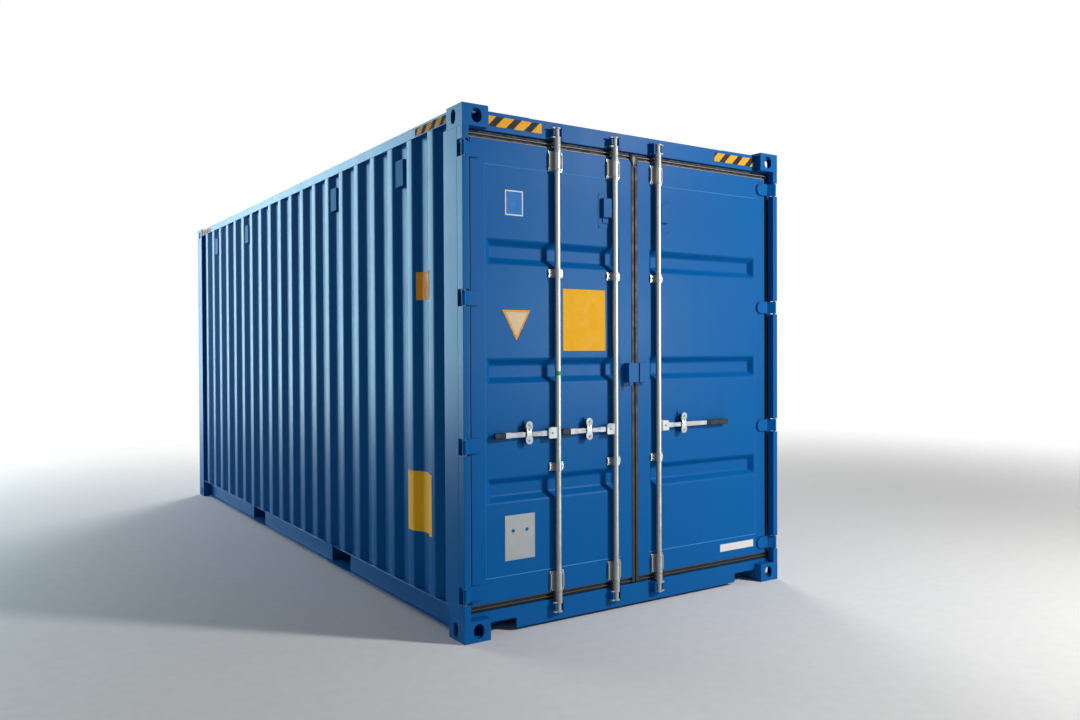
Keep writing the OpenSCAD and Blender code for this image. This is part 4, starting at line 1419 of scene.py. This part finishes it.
@dataclass
class LockGear(Assembly):
    """One lock rod with bearings, cams, hub and handle. The sizes that differ have no usual value.

    The ends of the blade and of the grip follow from the handle's reach and the grip's sleeve.
    """

    key: str
    door: Side
    x: float
    reach: float
    sleeve: float
    rod_back: float = 0.024
    handle_z: float = 1.103
    bearing_z: Sequence[float] = (0.247, 2.657)
    guide_z: Sequence[float] = (0.907, 2.014)
    ring_z: Sequence[float] = (0.1345, 0.158, 0.1815, 2.7175, 2.741, 2.7645)
    barrel: float = 0.0200
    bearing: float = 0.0212
    hole_lean: float = math.radians(36.0)
    hole_radius: float = 0.0205
    hub_plate: Flat = Flat((0.0215, 0.0745), (-0.0315, 0.0305), (0.0095, 0.0132), 0.0085, 0.0010)
    catch_lobes: Sequence[Flat] = (
        Flat((0.181, 0.227), (0.0270, 0.0740), (0.0120, 0.0145), 0.0220, 0.0009),
        Flat((0.181, 0.227), (-0.0540, -0.0030), (0.0120, 0.0145), 0.0200, 0.0009),
        Flat((0.184, 0.222), (0.0000, 0.0060), (0.0090, 0.0150), 0.0025, 0.0010))
    catch_neck: Flat = Flat((0.188, 0.219), (-0.0080, 0.0350), (0.0125, 0.0147), 0.0040, 0.0006)
    # The stems behind the lobes are dressed dark as painted shade.
    catch_stems: Sequence[Flat] = (
        Flat((0.187, 0.223), (0.0180, 0.0660), (0.0180, 0.0375), 0.0120, 0.0015),
        Flat((0.187, 0.223), (-0.0480, -0.0150), (0.0180, 0.0375), 0.0120, 0.0015))
    blade_root: Sequence[Flat] = (
        Flat((0.080, 0.122), (-0.0150, 0.0150), (0.0174, 0.0300), 0.0030, 0.0014),
        Flat((0.118, 0.180), (-0.0125, -0.0060), (0.0162, 0.0195), 0.0025, 0.0010),
        Flat((0.118, 0.180), (0.0060, 0.0125), (0.0162, 0.0195), 0.0025, 0.0010))
    blade_flat: Flat = Flat((0.232, 0.360), (-0.0150, 0.0150), (0.0178, 0.0302), 0.0050, 0.0016)
    blade_taper: float = 0.14
    blade_lap: float = 0.006
    grip: Flat = Flat((0.353, 0.425), (-0.0175, 0.0175), (0.0154, 0.0320), 0.0085, 0.0030)
    grip_lap: float = 0.0006
    hub_bolt_at: Span = (0.0475, 0.0100)
    catch_bolt_at: Span = (0.204, 0.0140)
    catch_bolt_up: Sequence[float] = (0.052, 0.026, -0.034)
    guide_bolt_half: Span = (0.034, 0.010)
    hole_half: float = 0.030
    bearing_ring_z: Sequence[float] = (-0.050, 0.046)
    bearing_back: float = 0.044
    rib_half: float = 0.0030
    rib_sunk: float = 0.001
    rib_corner: float = 0.0022
    rib_edge: float = 0.0012
    hub_bolt: Sequence[Span] = ((0, 0.0065), (0.0030, 0.0062), (0.0038, 0.0045))
    catch_bolt: Sequence[Span] = ((0, 0.0060), (0.0040, 0.0060), (0.0050, 0.0045))
    guide_bolt: Sequence[Span] = ((0, 0.0085), (0.0015, 0.0085), (0.0016, 0.0064), (0.0060, 0.0062), (0.0068, 0.0050))
    grease_hole: Sequence[Span] = ((0, 0.0042), (0.0009, 0.0042), (0.0004, 0.0022))
    bearing_rib: Sequence[tuple[float, float, float, float]] = (
        (0.0430, -0.041, 0.041, 0.009), (0.0370, 0.043, 0.054, 0.009),
        (0.0370, -0.054, -0.043, 0.009), (0.0310, -0.036, 0.036, 0.004))

    def build(self) -> None:
        """Rounds the gear and adds its face plates, fasteners, rings and grip."""
        f, lock, lever, door = self.finishes, self.key + "_lock", self.key + "_lever", self.door.body
        self.rounded(self.key + "_rod", lock, f.zinc, Slot.ZINC, 0.0008)
        self.rounded(self.key + "_cams", lock, f.bright, Slot.ZINC, 0.0018)
        self.rounded(self.key + "_hub", lock, f.bright, Slot.ZINC, 0.0015)
        self.rounded(self.key + "_handle", lever, f.bright, Slot.ZINC, 0.0016)
        rings = [ring(self.barrel, (self.x, END_Y + self.rod_back, z)) for z in self.ring_z]
        self.fit(join(rings, self.key + "_barrel_rings"), lock, f.zinc, Slot.ZINC)
        # The bearings' pressed ribs and sleeve rings wear the lighter zinc: a painted highlight along them.
        self.fit(self.bearing_ribs(), door, f.bright, Slot.ZINC)
        self.fit(self.guide_bolts(), door, f.zinc, Slot.ZINC)
        # Black discs stand for the holes in the bearing sleeves: painted shade.
        self.fit(self.grease_holes(), door, f.rubber)
        self.fit(self.plates("_hub_face", self.hub_plate), lock, f.bright, Slot.ZINC)
        self.fit(self.bolts("_hub_bolt", self.hub_bolt, self.hub_bolt_at, (0.0,)), lock, f.bolt, Slot.ZINC)
        self.fit(self.plates("_catch_face", *self.catch_lobes), lever, f.bright, Slot.ZINC)
        # The catch's neck wears the duller zinc and its stems the dark bolt finish: painted shade on the neck and the
        # catch's sides.
        self.fit(self.plates("_catch_neck", self.catch_neck), lever, f.zinc, Slot.ZINC)
        self.fit(self.plates("_catch_stems", *self.catch_stems), lever, f.bolt, Slot.ZINC)
        bolts = self.bolts("_catch_bolts", self.catch_bolt, self.catch_bolt_at, self.catch_bolt_up)
        self.fit(bolts, lever, f.bolt, Slot.ZINC)
        self.fit(self.blade(), lever, f.bright, Slot.ZINC)
        grip = replace(self.grip, along=(self.reach - self.sleeve, self.reach + self.grip_lap))
        self.fit(self.plates("_grip", grip), lever, f.grip)

    def across(self, along: float) -> float:
        """Place across the container of a distance along the handle, which points away from the centre line."""
        return self.x + self.door.value * along

    def plates(self, name: str, *shapes: Flat) -> Object:
        """Makes plates of the handle.

        Args:
            name: Last part of the piece's name.
            shapes: The plates.

        Returns:
            The joined plates.
        """
        made = []
        for shape in shapes:
            x0, x1 = sorted(self.across(a) for a in shape.along)
            (z0, z1), (y0, y1) = (self.handle_z + u for u in shape.up), (END_Y + b for b in shape.back)
            made.append(plate(self.key + name, (x0, y0, z0), (x1, y1, z1), shape.corner, shape.soft))
        return join(made, self.key + name)

    def bolts(self, name: str, steps: Sequence[Span], place: Span, up: Iterable[float]) -> Object:
        """Makes bolt heads on the handle's plates.

        Args:
            name: Last part of the piece's name.
            steps: Height and radius of each ring of a head.
            place: Their distance along the handle, and their foot from the end face.
            up: Their heights over the handle's middle line.

        Returns:
            The joined heads.
        """
        bolt = turned("bolt", (0, END_Y + place[1], 0), Axis.Y, steps, 6, 0.0003)
        return repeat(bolt, self.key + name, [(self.across(place[0]), 0, self.handle_z + u) for u in up])

    def blade(self) -> Object:
        """Makes the flat forged length that narrows to the grip, and the ribbed root beside the hub.

        Returns:
            The joined lengths.
        """
        start, end = self.blade_flat.along[0], self.reach - self.sleeve + self.blade_lap
        flat = self.plates("_blade_flat", replace(self.blade_flat, along=(start, end)))
        for vertex in flat.data.vertices:
            share = (abs(vertex.co.x - self.x) - start) / (end - start)
            vertex.co.z = self.handle_z + (vertex.co.z - self.handle_z) * (1.0 - self.blade_taper * share)
        return join([flat, self.plates("_blade_root", *self.blade_root)], self.key + "_handle_blade")

    def bearing_ribs(self) -> Object:
        """Makes the pressed ribs on the bearing plates and the rings on their sleeves.

        Returns:
            The joined ribs of both end bearings.
        """
        y, half, made = END_Y + self.bearing_back, self.rib_half, []
        for side in (-1, 1):
            for dx, z0, z1, tall in self.bearing_rib:
                low, high = (side * dx - half, y - tall, z0), (side * dx + half, y + self.rib_sunk, z1)
                made.append(plate("rib", low, high, self.rib_corner, self.rib_edge))
        made += [ring(self.bearing, (0, END_Y + self.rod_back, z)) for z in self.bearing_ring_z]
        return repeat(join(made, "ribs"), self.key + "_bearing_ribs", [(self.x, 0, z) for z in self.bearing_z])

    def guide_bolts(self) -> Object:
        """Sets the bolt heads on the guide plates.

        Returns:
            The joined heads.
        """
        bolt = turned("bolt", (0, END_Y + self.bearing_back, 0), Axis.Y, self.guide_bolt, 6, 0.0004)
        wide, tall = self.guide_bolt_half
        places = [(self.x + dx, 0, z + dz) for z in self.guide_z for dx in (-wide, wide) for dz in (-tall, tall)]
        return repeat(bolt, self.key + "_bearing_bolts", places)

    def grease_holes(self) -> Object:
        """Makes black discs on the bearing sleeves as painted shade of their holes, which face the viewer at a slant.

        Returns:
            The joined holes.
        """
        dx, dy = self.hole_radius * math.sin(self.hole_lean), self.hole_radius * math.cos(self.hole_lean)
        hole = turned("hole", (dx, END_Y + self.rod_back - dy, 0), Axis.Y, self.grease_hole, 12, lean=self.hole_lean)
        places = [(self.x, 0, z + dz) for z in self.bearing_z for dz in (-self.hole_half, self.hole_half)]
        return repeat(hole, self.key + "_sleeve_holes", places)


@dataclass
class LockFittings(Assembly):
    """Bearings, holders and keepers, which several rods share."""

    def build(self) -> None:
        """Rounds and dresses the shared lock fittings."""
        f = self.finishes
        for node, body in (("left_rod_bearings", "left_door"), ("right_rod_bearings", "right_door")):
            self.rounded(node, body, f.zinc, Slot.ZINC, 0.0013)
        for node, body in (("left_handle_holders", "left_door"), ("right_handle_holder", "right_door"),
                           ("cam_keepers", "container")):
            self.rounded(node, body, f.base_blue, Slot.PAINT, 0.0012)


@dataclass
class Markings(Assembly):
    """Bare plates and striped film."""

    face: float = 0.051
    rivet: Sequence[Span] = ((0, 0.0100), (0.0022, 0.0095), (0.0042, 0.0050))
    band: Sequence[Span] = ((0, 0.0172), (0.0004, 0.0175), (0.0236, 0.0175), (0.024, 0.0172))
    triangle_area: Area = ((-0.944, -0.760), (1.630, 1.800))
    triangle_rim: float = 0.011
    large: Area = ((-0.534, -0.226), (1.570, 1.930))
    class_rim: Area = ((-0.924, -0.806), (2.326, 2.466))
    class_face: Area = ((-0.917, -0.813), (2.333, 2.459))
    data: Area = ((-0.934, -0.736), (0.402, 0.654))
    rivet_places: Sequence[Point] = ((-0.880, 0, 0.566), (-0.789, 0, 0.566))
    strip: Area = ((0.724, 1.034), (0.238, 0.286))
    header: Sequence[tuple[str, Area]] = (
        ("left", ((-1.026, -0.676), (2.806, 2.862))), ("right", ((0.680, 1.040), (2.806, 2.862))))
    header_back: float = 0.052
    rail_y: Sequence[tuple[str, Span]] = (("door", (-2.840, -2.452)), ("front", (2.452, 2.840)))
    rail_z: Span = (2.825, 2.870)
    rail_back: float = 0.003
    film: float = 0.0008
    sheet: float = 0.0010
    label: float = 0.0005
    thick_sheet: float = 0.0016
    band_at: Point = (-0.590, 0.024, 1.430)

    def flat(self, name: str, body: str, finish: Material, area: Area, back: float, thick: float) -> None:
        """Fits one flat plate on the door side.

        Args:
            name: Name of the piece.
            body: Body that carries it.
            finish: Its material.
            area: Its edges across and up.
            back: Surface it lies on, from the end face.
            thick: Its thickness.
        """
        y, ((x0, x1), (z0, z1)) = END_Y + back, area
        self.fit(block(name, (x0, y - thick, z0), (x1, y + 0.0002, z1), 0.0004), body, finish)

    def build(self) -> None:
        """Fits every plate and striped film."""
        f, left, face = self.finishes, Side.LEFT.body, self.face
        self.flat("door_large_plate", left, f.yellow, self.large, face, self.sheet)
        self.flat("class_plate_edge", left, f.white, self.class_rim, face, self.sheet)
        self.flat("class_plate", left, f.sky, self.class_face, face - self.sheet, self.label)
        self.flat("data_plate", left, f.data, self.data, face, self.thick_sheet)
        self.flat("white_strip", Side.RIGHT.body, f.white, self.strip, LEAF_BACK, self.film)
        self.triangle("triangle_plate_edge", f.orange, 0.0, face)
        self.triangle("triangle_plate", f.cream, self.triangle_rim, face - self.film)
        rivet = turned("rivet", (0, END_Y + face - 0.0012, 0), Axis.Y, self.rivet, 16, 0.0004)
        self.fit(repeat(rivet, "data_plate_rivets", self.rivet_places), left, f.blue)
        for end, area in self.header:
            self.flat("header_stripes_" + end, "container", f.hazard, area, self.header_back, self.film)
        for side in Side:
            inner = side.value * (WIDTH / 2 - self.rail_back)
            x0, x1 = sorted((inner, inner + side.value * self.film))
            for end, (y0, y1) in self.rail_y:
                name, (z0, z1) = "_".join((side.key, end, "rail_stripes")), self.rail_z
                self.fit(block(name, (x0, y0, z0), (x1, y1, z1), 0.0003), "container", f.rail_hazard)
        x, back, z = self.band_at
        self.fit(turned("rod_band", (x, END_Y + back, z), Axis.Z, self.band, 48), "left_outer_lock", f.green)

    def triangle(self, name: str, finish: Material, shrink: float, back: float) -> None:
        """Fits a three-cornered plate, point down.

        Args:
            name: Name of the piece.
            finish: Its material.
            shrink: How far its edges lie inside the full size.
            back: Surface it lies on, from the end face.
        """
        (x0, x1), (z0, z1) = self.triangle_area
        spots = ((x0 + shrink * 1.6, z1 - shrink), (x1 - shrink * 1.6, z1 - shrink), ((x0 + x1) / 2, z0 + shrink * 2.1))
        clear()
        bpy.ops.mesh.primitive_circle_add(vertices=3, radius=1.0, fill_type="NGON", location=(0, 0, 0))
        obj = bpy.context.object
        for vertex, (x, z) in zip(obj.data.vertices, spots):
            vertex.co = (x, END_Y + back, z)
        with editing():
            bpy.ops.mesh.select_all(action="SELECT")
            bpy.ops.mesh.extrude_region_move(TRANSFORM_OT_translate={"value": (0, -self.film, 0)})
            outwards()
        self.fit(soften(settle(obj, name), 0.0002), Side.LEFT.body, finish)


@dataclass(frozen=True)
class Lamp:
    """A square soft light. A sheen shows only in glossy reflections."""

    name: str
    place: Point
    target: Point
    size: float
    power: float
    tint: Point
    sheen: bool = False

    def hang(self) -> None:
        """Adds the light and turns it to its target."""
        data = bpy.data.lights.new(self.name, "AREA")
        data.shape = "SQUARE"
        data.size = self.size
        data.energy = self.power
        data.color = self.tint
        obj = bpy.data.objects.new(self.name, data)
        obj.visible_diffuse = not self.sheen
        dx, dy, dz = (b - a for a, b in zip(self.place, self.target))
        obj.location = self.place
        obj.rotation_euler = (math.pi / 2 + math.atan2(dz, math.hypot(dx, dy)), 0.0, math.atan2(-dx, dy))
        bpy.context.scene.collection.objects.link(obj)


@dataclass
class Studio:
    """Floor, light and camera."""

    camera_place: Point = (-3.4873, -7.1843, 1.5790)
    camera_turn: Point = (89.32046563, 0.24910453, -33.57799485)
    lens: float = 29.555
    fade: Span = (4.8, 12.0)
    lamps: Sequence[Lamp] = (
        Lamp("side_light", (-7.0, 12.0, 3.6), (-1.2, 0.0, 1.4), 8.0, 1000.0, (1.0, 0.99, 0.97)),
        Lamp("side_sheen", (-8.3, 12.0, 4.0), (-1.2, 0.0, 1.4), 8.0, 3900.0, (0.36, 0.80, 1.0), True),
        Lamp("door_light", (3.64, -7.94, 4.33), (0.0, -3.0, 1.6), 0.65, 385.0, (1.0, 0.98, 0.95)),
        Lamp("door_sheen", (4.75, -9.8, 1.95), (-0.35, -3.0, 1.7), 1.4, 860.0, (0.72, 0.88, 1.0), True),
        Lamp("back_light", (6.5, 10.5, 5.5), (0.2, 2.0, 1.4), 5.0, 900.0, (1.0, 0.99, 0.97)))

    def build(self) -> None:
        """Sets the stage."""
        self.floor()
        self.world()
        for lamp in self.lamps:
            lamp.hang()
        data = bpy.data.cameras.new("view")
        data.sensor_width = 36.0
        data.lens = self.lens
        data.clip_end = 200.0
        camera = bpy.data.objects.new("view", data)
        camera.location = self.camera_place
        camera.rotation_euler = [math.radians(a) for a in self.camera_turn]
        bpy.context.scene.collection.objects.link(camera)
        bpy.context.scene.camera = camera
        bpy.context.scene.view_settings.view_transform = "Standard"

    def floor(self) -> None:
        """Lays a pale floor that fades into the background."""
        clear()
        bpy.ops.mesh.primitive_grid_add(x_subdivisions=8, y_subdivisions=8, size=120.0, location=(0, 0, 0))
        obj = bpy.context.object
        obj.name = "studio_floor"
        material = bpy.data.materials.new("pale_floor")
        material.use_nodes = True
        material.node_tree.nodes.clear()
        g = Graph(material.node_tree)
        shader = g.add("ShaderNodeBsdfPrincipled")
        shader.inputs["Roughness"].default_value = 0.75
        shader.inputs["Specular IOR Level"].default_value = 0.2
        pale = g.blend(g.span(g.noise(14.0, 5.0), 0.3, 0.7), (0.88, 0.88, 0.87), (0.91, 0.91, 0.90))
        g.wire(pale, shader.inputs["Base Color"])
        away = g.add("ShaderNodeVectorMath", operation="LENGTH")
        g.wire(g.place(), away.inputs[0])
        gone = g.add("ShaderNodeBsdfTransparent")
        g.finish("ShaderNodeOutputMaterial", g.span(away.outputs["Value"], *self.fade), shader, gone)
        obj.data.materials.append(material)

    @staticmethod
    def world() -> None:
        """Sets a plain pale background that lights the object softly."""
        world = bpy.data.worlds.new("studio")
        bpy.context.scene.world = world
        world.use_nodes = True
        world.node_tree.nodes.clear()
        g = Graph(world.node_tree)
        path = g.add("ShaderNodeLightPath").outputs
        mirrored_ray = g.math("MAXIMUM", path["Is Glossy Ray"], path["Is Transmission Ray"])
        seen = g.math("MAXIMUM", path["Is Camera Ray"], mirrored_ray)
        grounds = []
        for colour, strength in (((0.88, 0.93, 1.0), 0.11), ((1.0, 1.0, 1.0), 1.0)):
            node = g.add("ShaderNodeBackground")
            node.inputs["Color"].default_value = (*colour, 1.0)
            node.inputs["Strength"].default_value = strength
            grounds.append(node)
        g.finish("ShaderNodeOutputWorld", seen, *grounds)


def main() -> None:
    """Builds the whole scene in order."""
    logging.basicConfig(level=logging.INFO, format="%(name)s: %(message)s")
    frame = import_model()
    finishes = Finishes()
    Shell(frame, finishes).build()
    Walls(frame, finishes).build()
    RoofAndFloor(frame, finishes).build()
    for side in Side:
        DoorLeaf(frame, finishes, side).build()
    LockFittings(frame, finishes).build()
    LockGear(frame, finishes, "left_outer", Side.LEFT, -0.590, reach=0.425, sleeve=0.072).build()
    LockGear(frame, finishes, "left_inner", Side.LEFT, -0.170, reach=0.396, sleeve=0.062).build()
    LockGear(frame, finishes, "right", Side.RIGHT, 0.170, reach=0.595, sleeve=0.190).build()
    Markings(frame, finishes).build()
    Studio().build()


if __name__ == "__main__":
    main()
